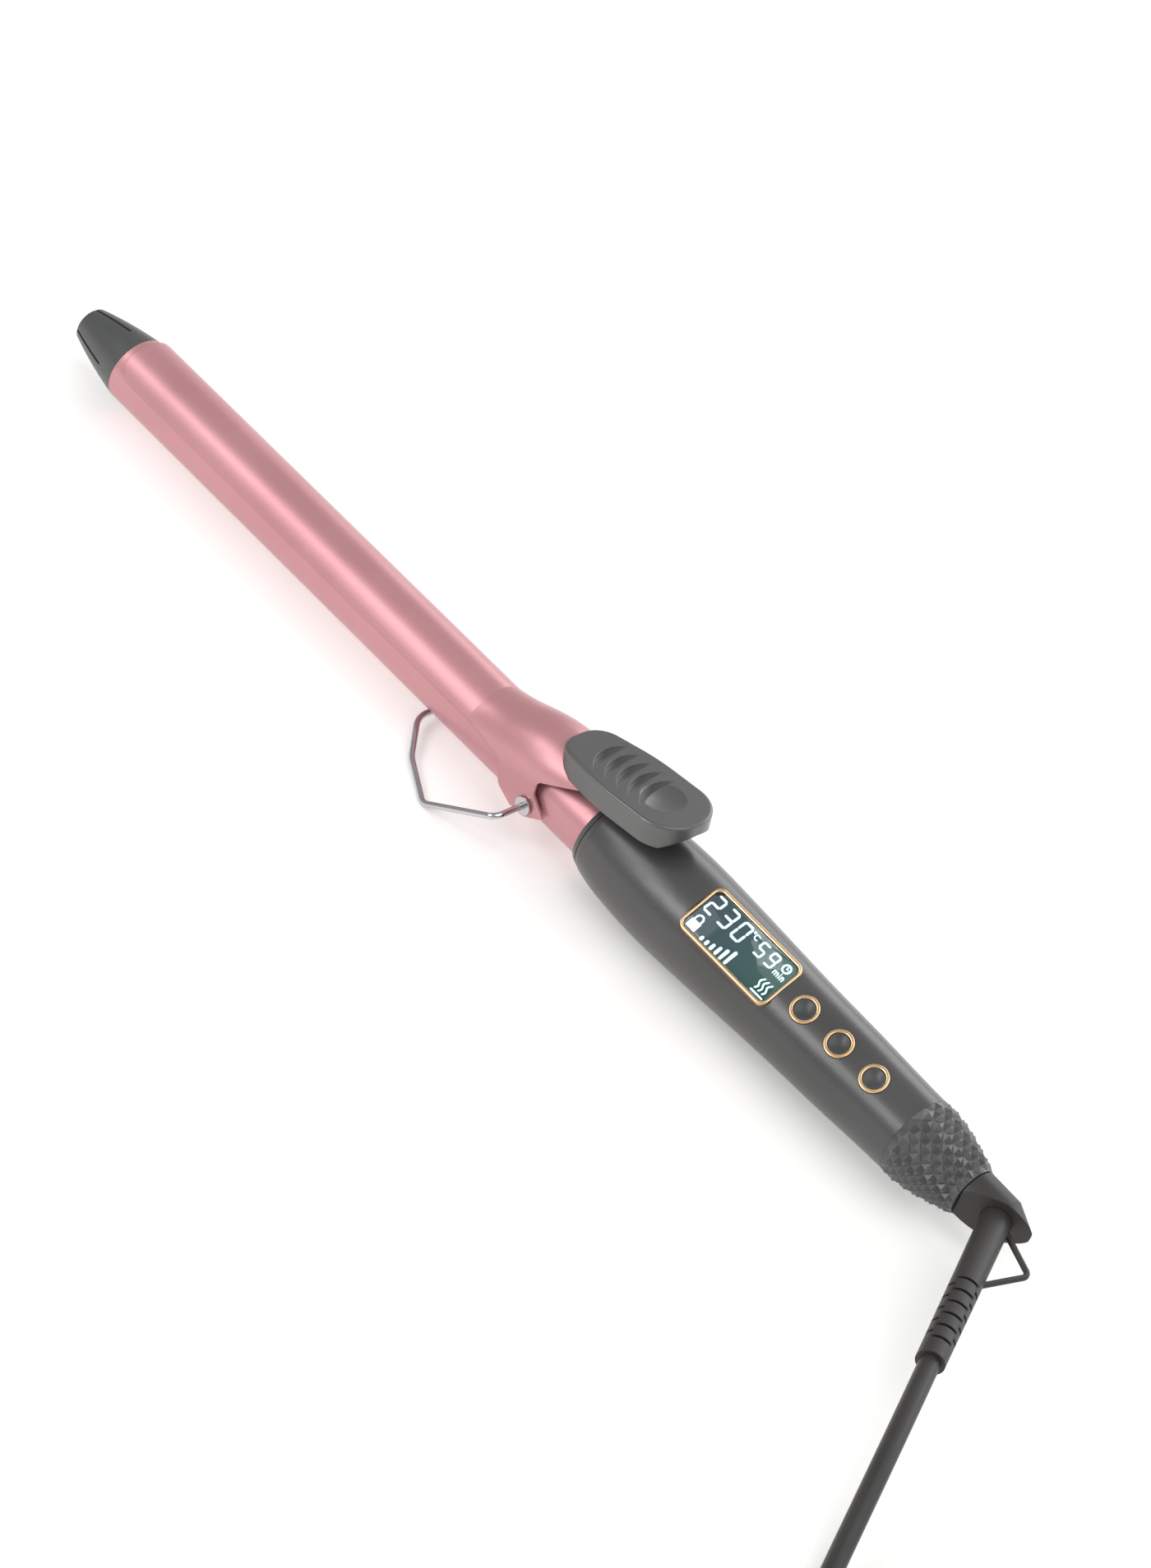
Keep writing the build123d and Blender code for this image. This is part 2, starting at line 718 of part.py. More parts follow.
# Display
with BuildPart() as display_bezel:
    with BuildSketch(DISPLAY):
        RectangleRounded(BEZEL_LENGTH, BEZEL_WIDTH, BEZEL_R)
        RectangleRounded(
            BEZEL_LENGTH - 2 * BEZEL_EDGE,
            BEZEL_WIDTH - 2 * BEZEL_EDGE,
            BEZEL_R - BEZEL_EDGE,
            mode=Mode.SUBTRACT,
        )
    extrude(amount=-BEZEL_DEPTH)

with BuildPart() as display_lens:
    with BuildSketch(DISPLAY.offset(-LENS_SUNK)):
        RectangleRounded(BEZEL_LENGTH - 2 * BEZEL_EDGE, BEZEL_WIDTH - 2 * BEZEL_EDGE, BEZEL_R - BEZEL_EDGE)
    extrude(amount=-LENS_THICK)

with BuildPart() as display_module:
    with BuildSketch(DISPLAY.offset(-LENS_SUNK - LENS_THICK)):
        Rectangle(
            BEZEL_LENGTH - 2 * BEZEL_EDGE - 2 * MODULE_INSET,
            BEZEL_WIDTH - 2 * BEZEL_EDGE - 2 * MODULE_INSET,
        )
        chamfer(vertices(), BEZEL_R - BEZEL_EDGE)
    extrude(amount=-BOARD_TOP)
    split(bisect_by=PANEL.offset(BOARD_TOP), keep=Keep.TOP)

# Circuit board and keys
with BuildPart() as circuit_board:
    with BuildSketch(PANEL.offset(BOARD_TOP)):
        with Locations(((BOARD_FRONT + BOARD_REAR) / 2, 0)):
            Rectangle(BOARD_REAR - BOARD_FRONT, BOARD_WIDTH)
        with Locations((SCREWS_AT[1], 0)):
            Circle(BOARD_HOLE_R, mode=Mode.SUBTRACT)
    extrude(amount=-BOARD_THICK)

with BuildPart() as tact_switches:
    for along in BUTTONS_AT:
        with BuildSketch(at(PANEL, along, 0).offset(BOARD_TOP)):
            Rectangle(SWITCH_SIDE, SWITCH_SIDE)
        extrude(amount=SWITCH_TOP - BOARD_TOP)
        add(pin(at(PANEL, along, 0), PLUNGER_R, SWITCH_TOP, PLUNGER_TOP))

with BuildPart() as button_rings:
    for along, high in zip(BUTTONS_AT, BUTTONS_H):
        add(pin(at(PANEL, along, 0), RING_R, high - RING_SUNK, high + RING_PROUD))
        add(pin(at(PANEL, along, 0), RING_BORE_R, 0, PAST_SHELL), mode=Mode.SUBTRACT)

button_1 = key(BUTTONS_AT[0], BUTTONS_H[0])
button_2 = key(BUTTONS_AT[1], BUTTONS_H[1])
button_3 = key(BUTTONS_AT[2], BUTTONS_H[2])

# Leads
BOARD_UNDER = BOARD_TOP - BOARD_THICK
with BuildPart() as heater_leads:
    for side in (LEAD_SIDE, -LEAD_SIDE):
        wide = side * cos(radians(PANEL_TURN))
        low = -side * sin(radians(PANEL_TURN))
        route = [(HEATER_REAR, wide, low), (LEAD_RISE_AT, wide, low), (LEAD_RISE_AT, wide, BOARD_UNDER)]
        add(tube([PANEL.from_local_coords(p) for p in route], LEAD_R, [LEAD_BEND_R]))

with BuildPart() as filter_choke:
    with BuildSketch(PANEL.offset(BOARD_UNDER)):
        with Locations(((CHOKE_FRONT + CHOKE_REAR) / 2, 0)):
            Rectangle(CHOKE_REAR - CHOKE_FRONT, CHOKE_WIDTH)
    extrude(amount=-CHOKE_TALL)

with BuildPart() as mains_leads:
    for side in (MAINS_SIDE, -MAINS_SIDE):
        route = [(MAINS_AT, side, BOARD_UNDER), (MAINS_AT, side, 0), (MAINS_END, side, 0)]
        add(tube([PANEL.from_local_coords(p) for p in route], LEAD_R, [LEAD_BEND_R]))

# Swivel socket and boot
with BuildPart() as boot_blank:
    with BuildSketch(BOOT.offset(BOOT_HEAD)):
        Circle(BOOT_R)
    with BuildSketch(BOOT.offset(BOOT_LENGTH)):
        Circle(BOOT_END_R)
    loft()

with BuildPart() as swivel_socket:
    add(
        turned(
            [
                (SOCKET_FRONT, 0),
                (SOCKET_FRONT, SOCKET_R),
                (SOCKET_SHOULDER, SOCKET_SHOULDER_R),
                (SOCKET_REAR, SOCKET_END_R),
                (SOCKET_REAR, 0),
            ]
        )
    )
    split(bisect_by=BOOT.offset(MOUTH_SHIFT), keep=Keep.BOTTOM)
    add(turned([(NECK_FRONT, 0), (NECK_FRONT, NECK_R), (SOCKET_FRONT, NECK_R), (SOCKET_FRONT, 0)]))
    add(
        turned(
            [
                (NECK_FRONT, 0),
                (NECK_FRONT, NECK_BORE_R),
                (NECK_BORE_REAR, NECK_BORE_R),
                (NECK_BORE_REAR, 0),
            ]
        ),
        mode=Mode.SUBTRACT,
    )
    add(boot_blank.part, mode=Mode.SUBTRACT)

with BuildPart() as swivel_retainer:
    add(
        turned(
            [
                (RETAINER_FRONT, NECK_R),
                (RETAINER_FRONT, RETAINER_R),
                (RETAINER_REAR, RETAINER_R),
                (RETAINER_REAR, NECK_R),
            ]
        )
    )

with BuildPart() as cord_boot:
    add(boot_blank.part)
    add(tube([BOOT.from_local_coords((p[0], 0, p[1])) for p in LOOP_POINTS], LOOP_R, [LOOP_BEND_R]))
    for k in range(SLOT_COUNT):
        with BuildSketch(BOOT.offset(SLOT_FIRST + SLOT_PITCH * k)):
            for side in (1, -1):
                reach = side * (SLOT_FLOOR + SLOT_REACH)
                with Locations((reach, 0) if k % 2 else (0, reach)):
                    Rectangle(2 * SLOT_REACH, 4 * SLOT_REACH, rotation=0 if k % 2 else 90)
        extrude(amount=SLOT_WIDTH, mode=Mode.SUBTRACT)


def on_floor(along, across, height):
    """Point on the cord's side of the frame, from the boot's head."""
    spot = BOOT.from_local_coords((across, 0, along))
    return (spot.X, spot.Y, height)


# Power cord
RUN = [
    on_floor(BOOT_LENGTH, 0, AXIS_Z),
    on_floor(RUN_LEVEL, 0, AXIS_Z),
    on_floor(RUN_FLOOR, 0, CORD_REST),
    on_floor(COIL_AT - COIL_ENDS, 0, CORD_REST),
]
with BuildPart() as power_cord:
    add(tube(RUN, CORD_R, bend_radii(RUN)))

# Cord coil: half turns spiral in, climb a layer and spiral out
COIL_RADII = [COIL_START_R - COIL_PITCH / 2 * k for k in range(COIL_HALF_TURNS + 1)]
COIL_RADII += COIL_RADII[-2::-1]
with BuildPart() as cord_coil:
    with BuildLine() as winding:
        across = 0
        height = CORD_REST
        Line(on_floor(COIL_AT - COIL_ENDS, across, height), on_floor(COIL_AT, across, height))
        for k, radius in enumerate(COIL_RADII):
            way = 1 if k % 2 == 0 else -1
            climb = COIL_PITCH if k == COIL_HALF_TURNS else 0
            span = Vector(2 * radius, climb).length / 2
            middle = on_floor(COIL_AT + way * span, across + way * radius, height + climb / 2)
            ThreePointArc(
                on_floor(COIL_AT, across, height),
                middle,
                on_floor(COIL_AT, across + way * 2 * radius, height + climb),
            )
            across += way * 2 * radius
            height += climb
        Line(on_floor(COIL_AT, across, height), on_floor(COIL_AT - COIL_ENDS, across, height))
    with BuildSketch(Plane(origin=RUN[-1], z_dir=BOOT_DIR)):
        Circle(CORD_R)
    sweep()
COIL_END = across
COIL_HIGH = height
COIL_LEAVES = COIL_AT - COIL_ENDS

# Tie
TIE_MIDDLE = COIL_START_R + COIL_PITCH / 2
TIE_PLANE = Plane(
    origin=on_floor(COIL_AT, TIE_MIDDLE, CORD_REST - CORD_R),
    x_dir=(-BOOT_DIR[0], -BOOT_DIR[1], 0),
    z_dir=BOOT.x_dir,
)
TIE_TALL = COIL_PITCH + 2 * CORD_R
with BuildPart() as cord_tie:
    with BuildSketch(TIE_PLANE):
        with Locations(((TIE_OUTER + TIE_INNER) / 2, TIE_TALL / 2)):
            RectangleRounded(TIE_OUTER - TIE_INNER + 2 * TIE_THICK, TIE_TALL + 2 * TIE_THICK, CORD_R)
            RectangleRounded(TIE_OUTER - TIE_INNER, TIE_TALL, CORD_R - TIE_THICK, mode=Mode.SUBTRACT)
    extrude(amount=TIE_WIDTH / 2, both=True)

# Plug lead, plug body and pins
PLUG_HIGH = PLUG_THICK / 2
LEAD = [
    on_floor(COIL_LEAVES, COIL_END, COIL_HIGH),
    on_floor(COIL_LEAVES - PLUG_LEAD[0], COIL_END, COIL_HIGH),
    on_floor(COIL_LEAVES - PLUG_LEAD[1], COIL_END, PLUG_HIGH),
    on_floor(COIL_LEAVES - PLUG_LEAD[2], COIL_END, PLUG_HIGH),
]
with BuildPart() as plug_lead:
    add(tube(LEAD, CORD_R, bend_radii(LEAD)))

PLUG = Plane(
    origin=LEAD[-1],
    x_dir=(BOOT.x_dir.X, BOOT.x_dir.Y, 0),
    z_dir=(-BOOT_DIR[0], -BOOT_DIR[1], 0),
)
PLUG_FACE = PLUG_NECK + PLUG_LENGTH
with BuildPart() as plug_body:
    with BuildSketch(PLUG.offset(PLUG_NECK)):
        RectangleRounded(PLUG_SHOULDER, PLUG_THICK, PLUG_CORNER_R)
    with BuildSketch(PLUG.offset(PLUG_FACE)):
        RectangleRounded(PLUG_WIDTH, PLUG_THICK, PLUG_CORNER_R)
    loft()
    add(pin(PLUG, PLUG_NECK_R, 0, PLUG_NECK))
    for side in (PIN_PITCH / 2, -PIN_PITCH / 2):
        add(pin(at(PLUG, side, 0), PIN_ROOT_R, PLUG_FACE - PIN_ROOT, PLUG_FACE), mode=Mode.SUBTRACT)

with BuildPart() as plug_pins:
    for side in (PIN_PITCH / 2, -PIN_PITCH / 2):
        add(pin(at(PLUG, side, 0), PIN_ROOT_R, PLUG_FACE - PIN_ROOT, PLUG_FACE))
        add(pin(at(PLUG, side, 0), PIN_R, PLUG_FACE, PLUG_FACE + PIN_LENGTH))
    fillet(edges().filter_by(GeomType.CIRCLE).group_by(Axis(LEAD[-1], PLUG.z_dir))[-1], PIN_ROUND)

# Labels and files
os.makedirs("parts", exist_ok=True)
cool_tip.part.label = "cool tip"
barrel.part.label = "barrel"
heater_core.part.label = "heater core"
heater_clamps.part.label = "heater clamps"
thermal_fuse.part.label = "thermal fuse"
clip.part.label = "clip"
lever_pad.part.label = "lever pad"
pad_rivet.part.label = "pad rivet"
clip_spring.part.label = "clip spring"
hinge_rivets.part.label = "hinge rivets"
stand.part.label = "stand"
front_collar.part.label = "front collar"
handle_upper.part.label = "handle upper"
handle_lower.part.label = "handle lower"
shell_screws.part.label = "shell screws"
rear_grip.part.label = "rear grip"
display_bezel.part.label = "display bezel"
display_lens.part.label = "display lens"
display_module.part.label = "display module"
circuit_board.part.label = "circuit board"
tact_switches.part.label = "tact switches"
button_rings.part.label = "button rings"
button_1.part.label = "button 1"
button_2.part.label = "button 2"
button_3.part.label = "button 3"
heater_leads.part.label = "heater leads"
filter_choke.part.label = "filter choke"
mains_leads.part.label = "mains leads"
swivel_socket.part.label = "swivel socket"
swivel_retainer.part.label = "swivel retainer"
cord_boot.part.label = "cord boot"
power_cord.part.label = "power cord"
cord_coil.part.label = "cord coil"
cord_tie.part.label = "cord tie"
plug_lead.part.label = "plug lead"
plug_body.part.label = "plug body"
plug_pins.part.label = "plug pins"
export_step(cool_tip.part, "parts/cool_tip.step")
export_step(barrel.part, "parts/barrel.step")
export_step(heater_core.part, "parts/heater_core.step")
export_step(heater_clamps.part, "parts/heater_clamps.step")
export_step(thermal_fuse.part, "parts/thermal_fuse.step")
export_step(clip.part, "parts/clip.step")
export_step(lever_pad.part, "parts/lever_pad.step")
export_step(pad_rivet.part, "parts/pad_rivet.step")
export_step(clip_spring.part, "parts/clip_spring.step")
export_step(hinge_rivets.part, "parts/hinge_rivets.step")
export_step(stand.part, "parts/stand.step")
export_step(front_collar.part, "parts/front_collar.step")
export_step(handle_upper.part, "parts/handle_upper.step")
export_step(handle_lower.part, "parts/handle_lower.step")
export_step(shell_screws.part, "parts/shell_screws.step")
export_step(rear_grip.part, "parts/rear_grip.step")
export_step(display_bezel.part, "parts/display_bezel.step")
export_step(display_lens.part, "parts/display_lens.step")
export_step(display_module.part, "parts/display_module.step")
export_step(circuit_board.part, "parts/circuit_board.step")
export_step(tact_switches.part, "parts/tact_switches.step")
export_step(button_rings.part, "parts/button_rings.step")
export_step(button_1.part, "parts/button_1.step")
export_step(button_2.part, "parts/button_2.step")
export_step(button_3.part, "parts/button_3.step")
export_step(heater_leads.part, "parts/heater_leads.step")
export_step(filter_choke.part, "parts/filter_choke.step")
export_step(mains_leads.part, "parts/mains_leads.step")
export_step(swivel_socket.part, "parts/swivel_socket.step")
export_step(swivel_retainer.part, "parts/swivel_retainer.step")
export_step(cord_boot.part, "parts/cord_boot.step")
export_step(power_cord.part, "parts/power_cord.step")
export_step(cord_coil.part, "parts/cord_coil.step")
export_step(cord_tie.part, "parts/cord_tie.step")
export_step(plug_lead.part, "parts/plug_lead.step")
export_step(plug_body.part, "parts/plug_body.step")
export_step(plug_pins.part, "parts/plug_pins.step")
WOUND = [winding.line @ (k / GAP_SAMPLES) for k in range(GAP_SAMPLES + 1)]
APART = [
    (a - b).length
    for j, a in enumerate(WOUND)
    for b in WOUND[j + GAP_SKIP :]
]
print("cord bend radii", bend_radii(RUN), bend_radii(LEAD))
print("coil length", sum(e.length for e in winding.edges()), "least gap", min(APART) - 2 * CORD_R)
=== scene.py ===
"""Curling iron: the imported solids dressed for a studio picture, with display, keys and cord."""

import logging
import math
from collections.abc import Sequence
from dataclasses import dataclass, field
from enum import Enum
from typing import ClassVar

import bmesh
import bpy
from mathutils import Matrix, Vector


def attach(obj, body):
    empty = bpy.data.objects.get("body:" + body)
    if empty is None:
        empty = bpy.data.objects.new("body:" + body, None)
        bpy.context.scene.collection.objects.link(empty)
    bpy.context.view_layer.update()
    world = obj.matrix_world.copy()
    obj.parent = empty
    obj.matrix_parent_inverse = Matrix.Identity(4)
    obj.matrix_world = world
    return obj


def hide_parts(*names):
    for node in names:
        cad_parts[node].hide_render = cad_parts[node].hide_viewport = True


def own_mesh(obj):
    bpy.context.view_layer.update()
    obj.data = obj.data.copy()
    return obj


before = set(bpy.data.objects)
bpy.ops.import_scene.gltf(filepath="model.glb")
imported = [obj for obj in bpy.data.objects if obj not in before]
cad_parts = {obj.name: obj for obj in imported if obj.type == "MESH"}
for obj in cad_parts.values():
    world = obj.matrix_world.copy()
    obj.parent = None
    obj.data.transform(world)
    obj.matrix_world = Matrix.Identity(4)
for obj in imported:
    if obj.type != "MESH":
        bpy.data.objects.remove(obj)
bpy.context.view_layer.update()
LOG = logging.getLogger("curling_iron")
MM = 0.001

# Screen colours
SRGB_TOP = 255.0
SRGB_KNEE = 0.04045
SRGB_SLOPE = 12.92
SRGB_OFFSET = 0.055
SRGB_POWER = 2.4

# Meshes: weld distance in metres, and the angles from which an edge is sharp or stays hard
WELD = 1e-6
SHARP = math.radians(35.0)
HARD = math.radians(40.0)

Colour = tuple[float, float, float]
Point2 = tuple[float, float]
Point3 = tuple[float, float, float]


def linear(red: int, green: int, blue: int) -> Colour:
    """Turn a screen colour into the light values that a shader takes.

    Args:
        red: Red from 0 to 255.
        green: Green from 0 to 255.
        blue: Blue from 0 to 255.

    Returns:
        The three values from 0 to 1.
    """
    values = []
    for share in (red / SRGB_TOP, green / SRGB_TOP, blue / SRGB_TOP):
        if share <= SRGB_KNEE:
            values.append(share / SRGB_SLOPE)
        else:
            values.append(((share + SRGB_OFFSET) / (1.0 + SRGB_OFFSET)) ** SRGB_POWER)
    return tuple(values)


class Body(Enum):
    """Bodies that a new piece rides on."""

    IRON = "iron"
    SWIVEL = "swivel"
    KEY_1 = "button_1"
    KEY_2 = "button_2"
    KEY_3 = "button_3"


class Grain(Enum):
    """Ways that a surface's fine relief runs, as stretch along X, Y and Z."""

    EVEN = (1.0, 1.0, 1.0)
    ALONG = (0.04, 1.0, 1.0)


@dataclass(frozen=True)
class Surface:
    """A material that is built once and shared.

    Attributes:
        name: Name of the material.
        colour: Main colour.
        alpha: Share of cover in the viewport's colour.
    """

    name: str
    colour: Colour
    alpha: ClassVar[float] = 1.0

    def material(self) -> bpy.types.Material:
        """Build the material once and return it.

        Returns:
            The material of this surface.
        """
        found = bpy.data.materials.get(self.name)
        if found:
            return found
        made = bpy.data.materials.new(self.name)
        made.use_nodes = True
        made.diffuse_color = (*self.colour, self.alpha)
        self.paint(made.node_tree)
        return made

    def paint(self, tree: bpy.types.NodeTree) -> None:
        """Set up the shader and the nodes that feed it.

        Args:
            tree: Nodes of the new material.
        """
        raise NotImplementedError


@dataclass(frozen=True)
class Finish(Surface):
    """A surface with its gloss and fine relief.

    Attributes:
        shade: Second colour of the soft mottling.
        metallic: Share of metal.
        gloss: Lowest and highest roughness over the surface.
        grain_mm: Size of the fine grain.
        grain: Way that the grain runs.
        relief_mm: Height of the grain.
        coat: Share of clear coat.
        coat_roughness: Roughness of the clear coat.
        edge_mm: Radius that sharp edges are shaded with.
        ior: Index of refraction, which sets the share of light that the surface mirrors.
        glow: Strength of the light that the surface gives off.
        grain_detail: Fineness of the grain's noise.
        grain_ends: Noise values that get the lowest and the highest roughness.
        mottle_per_m: Scale of the mottling.
        mottle_detail: Fineness of the mottling's noise.
        mottle_ends: Noise values that get the second and the main colour.
        bump: Strength of the relief.
        edge_samples: Rays that a shaded edge is worked out with.
    """

    shade: Colour
    metallic: float = 0.0
    gloss: Point2 = (0.45, 0.55)
    grain_mm: float = 0.4
    grain: Grain = Grain.EVEN
    relief_mm: float = 0.01
    coat: float = 0.0
    coat_roughness: float = 0.2
    edge_mm: float = 0.0
    ior: float = 1.5
    glow: float = 0.0
    grain_detail: ClassVar[float] = 3.0
    grain_ends: ClassVar[Point2] = (0.3, 0.7)
    mottle_per_m: ClassVar[float] = 40.0
    mottle_detail: ClassVar[float] = 4.0
    mottle_ends: ClassVar[Point2] = (0.35, 0.65)
    bump: ClassVar[float] = 0.6
    edge_samples: ClassVar[int] = 6

    def paint(self, tree: bpy.types.NodeTree) -> None:
        """Set up the shader with mottled colour, uneven gloss, grain and soft edges.

        Args:
            tree: Nodes of the new material.
        """
        nodes, links = tree.nodes, tree.links
        shader = nodes["Principled BSDF"]
        shader.inputs["Metallic"].default_value = self.metallic
        shader.inputs["IOR"].default_value = self.ior
        shader.inputs["Emission Color"].default_value = (*self.colour, 1.0)
        shader.inputs["Emission Strength"].default_value = self.glow
        shader.inputs["Coat Weight"].default_value = self.coat
        shader.inputs["Coat Roughness"].default_value = self.coat_roughness
        place = nodes.new("ShaderNodeTexCoord")
        stretch = nodes.new("ShaderNodeMapping")
        stretch.inputs["Scale"].default_value = self.grain.value
        links.new(place.outputs["Object"], stretch.inputs["Vector"])
        fine = nodes.new("ShaderNodeTexNoise")
        fine.inputs["Scale"].default_value = 1.0 / (self.grain_mm * MM)
        fine.inputs["Detail"].default_value = self.grain_detail
        links.new(stretch.outputs["Vector"], fine.inputs["Vector"])
        broad = nodes.new("ShaderNodeTexNoise")
        broad.inputs["Scale"].default_value = self.mottle_per_m
        broad.inputs["Detail"].default_value = self.mottle_detail
        links.new(place.outputs["Object"], broad.inputs["Vector"])
        ramp = nodes.new("ShaderNodeValToRGB")
        ramp.color_ramp.elements[0].position = self.mottle_ends[0]
        ramp.color_ramp.elements[0].color = (*self.shade, 1.0)
        ramp.color_ramp.elements[1].position = self.mottle_ends[1]
        ramp.color_ramp.elements[1].color = (*self.colour, 1.0)
        links.new(broad.outputs["Fac"], ramp.inputs["Fac"])
        links.new(ramp.outputs["Color"], shader.inputs["Base Color"])
        spread = nodes.new("ShaderNodeMapRange")
        spread.inputs["From Min"].default_value = self.grain_ends[0]
        spread.inputs["From Max"].default_value = self.grain_ends[1]
        spread.inputs["To Min"].default_value = self.gloss[0]
        spread.inputs["To Max"].default_value = self.gloss[1]
        links.new(fine.outputs["Fac"], spread.inputs["Value"])
        links.new(spread.outputs["Result"], shader.inputs["Roughness"])
        bump = nodes.new("ShaderNodeBump")
        bump.inputs["Strength"].default_value = self.bump
        bump.inputs["Distance"].default_value = self.relief_mm * MM
        links.new(fine.outputs["Fac"], bump.inputs["Height"])
        if self.edge_mm:
            edge = nodes.new("ShaderNodeBevel")
            edge.samples = self.edge_samples
            edge.inputs["Radius"].default_value = self.edge_mm * MM
            links.new(edge.outputs["Normal"], bump.inputs["Normal"])
        links.new(bump.outputs["Normal"], shader.inputs["Normal"])


@dataclass(frozen=True)
class Backlight(Surface):
    """A lit surface of the display, with its main colour at the tip end.

    Attributes:
        far: Colour at the cord end.
        strength: Brightness of the light.
        ends_mm: Where the two colours lie along X.
        roughness: Roughness of the surface.
    """

    far: Colour
    strength: float
    ends_mm: Point2
    roughness: ClassVar[float] = 0.35

    def paint(self, tree: bpy.types.NodeTree) -> None:
        """Set up the shader with a light that changes colour along X.

        Args:
            tree: Nodes of the new material.
        """
        nodes, links = tree.nodes, tree.links
        shader = nodes["Principled BSDF"]
        shader.inputs["Roughness"].default_value = self.roughness
        shader.inputs["Emission Strength"].default_value = self.strength
        place = nodes.new("ShaderNodeTexCoord")
        split = nodes.new("ShaderNodeSeparateXYZ")
        links.new(place.outputs["Object"], split.inputs["Vector"])
        along = nodes.new("ShaderNodeMapRange")
        along.inputs["From Min"].default_value = self.ends_mm[0] * MM
        along.inputs["From Max"].default_value = self.ends_mm[1] * MM
        links.new(split.outputs["X"], along.inputs["Value"])
        ramp = nodes.new("ShaderNodeValToRGB")
        ramp.color_ramp.elements[0].color = (*self.colour, 1.0)
        ramp.color_ramp.elements[1].color = (*self.far, 1.0)
        links.new(along.outputs["Result"], ramp.inputs["Fac"])
        links.new(ramp.outputs["Color"], shader.inputs["Base Color"])
        links.new(ramp.outputs["Color"], shader.inputs["Emission Color"])


@dataclass(frozen=True)
class ClearWindow(Surface):
    """Clear hard plastic of the display's window.

    Attributes:
        alpha: Share of cover in the viewport's colour.
        ior: Index of refraction.
        haze_per_m: Scale of the haze.
        haze: Lowest and highest roughness.
    """

    alpha: ClassVar[float] = 0.4
    ior: ClassVar[float] = 1.45
    haze_per_m: ClassVar[float] = 160.0
    haze: ClassVar[Point2] = (0.01, 0.05)

    def paint(self, tree: bpy.types.NodeTree) -> None:
        """Set up a clear shader with a faint haze.

        Args:
            tree: Nodes of the new material.
        """
        nodes, links = tree.nodes, tree.links
        shader = nodes["Principled BSDF"]
        shader.inputs["Base Color"].default_value = (*self.colour, 1.0)
        shader.inputs["Transmission Weight"].default_value = 1.0
        shader.inputs["IOR"].default_value = self.ior
        place = nodes.new("ShaderNodeTexCoord")
        haze = nodes.new("ShaderNodeTexNoise")
        haze.inputs["Scale"].default_value = self.haze_per_m
        links.new(place.outputs["Object"], haze.inputs["Vector"])
        spread = nodes.new("ShaderNodeMapRange")
        spread.inputs["To Min"].default_value = self.haze[0]
        spread.inputs["To Max"].default_value = self.haze[1]
        links.new(haze.outputs["Fac"], spread.inputs["Value"])
        links.new(spread.outputs["Result"], shader.inputs["Roughness"])


PINK_LACQUER = Finish(
    "pink_lacquer", linear(201, 145, 150), linear(196, 140, 145), metallic=0.5,
    gloss=(0.34, 0.42), grain_mm=0.25, relief_mm=0.004, coat=0.1, coat_roughness=0.3, edge_mm=0.3,
)
CHARCOAL_SHELL = Finish(
    "charcoal_shell", linear(71, 70, 70), linear(65, 64, 64),
    gloss=(0.3, 0.38), grain_mm=0.35, relief_mm=0.006, coat=0.25, coat_roughness=0.25, edge_mm=0.3,
)
CHARCOAL_PAD = Finish(
    "charcoal_pad", linear(64, 65, 64), linear(58, 59, 58),
    gloss=(0.34, 0.42), grain_mm=0.4, relief_mm=0.008, coat=0.35, coat_roughness=0.3, edge_mm=0.35,
    ior=1.9,
)
CHARCOAL_TIP = Finish(
    "charcoal_tip", linear(70, 71, 71), linear(64, 65, 65),
    gloss=(0.36, 0.46), grain_mm=0.35, relief_mm=0.01, coat=0.2, coat_roughness=0.3, edge_mm=0.3,
)
CHARCOAL_GRIP = Finish(
    "charcoal_grip", linear(76, 76, 77), linear(68, 68, 69),
    gloss=(0.28, 0.38), grain_mm=0.3, relief_mm=0.006, coat=0.3, coat_roughness=0.25, edge_mm=0.12,
)
CHROME_WIRE = Finish(
    "chrome_wire", linear(200, 200, 204), linear(190, 191, 195), metallic=1.0,
    gloss=(0.1, 0.18), grain_mm=0.3, relief_mm=0.001, edge_mm=0.15,
)
BRUSHED_STEEL = Finish(
    "brushed_steel", linear(190, 190, 194), linear(170, 170, 175), metallic=1.0,
    gloss=(0.28, 0.42), grain_mm=0.2, grain=Grain.ALONG, relief_mm=0.004,
)
ROSE_GOLD = Finish(
    "rose_gold", linear(248, 212, 168), linear(242, 202, 156), metallic=1.0,
    gloss=(0.2, 0.3), grain_mm=0.25, relief_mm=0.002, edge_mm=0.2,
)
BLACK_KEYCAP = Finish(
    "black_keycap", linear(66, 67, 68), linear(60, 61, 62),
    gloss=(0.36, 0.44), grain_mm=0.3, relief_mm=0.004, coat=0.1, coat_roughness=0.3, edge_mm=0.25,
)
BLACK_SOCKET = Finish(
    "black_socket", linear(52, 50, 49), linear(46, 44, 43),
    gloss=(0.42, 0.52), grain_mm=0.4, relief_mm=0.01, edge_mm=0.35,
)
BLACK_CORD = Finish(
    "black_cord", linear(50, 48, 47), linear(43, 42, 41),
    gloss=(0.4, 0.5), grain_mm=0.5, relief_mm=0.012, edge_mm=0.25,
)
GREEN_BOARD = Finish(
    "green_board", linear(34, 92, 58), linear(28, 80, 50), gloss=(0.3, 0.45), relief_mm=0.01,
)
PALE_CERAMIC = Finish(
    "pale_ceramic", linear(222, 218, 206), linear(212, 207, 194), gloss=(0.5, 0.65), relief_mm=0.01,
)
PLAIN_ALUMINIUM = Finish(
    "plain_aluminium", linear(200, 202, 206), linear(184, 186, 190), metallic=1.0,
    gloss=(0.3, 0.42), grain_mm=0.25, grain=Grain.ALONG, relief_mm=0.005,
)
RED_LEAD = Finish("red_lead", linear(168, 44, 38), linear(150, 38, 33), gloss=(0.45, 0.6))
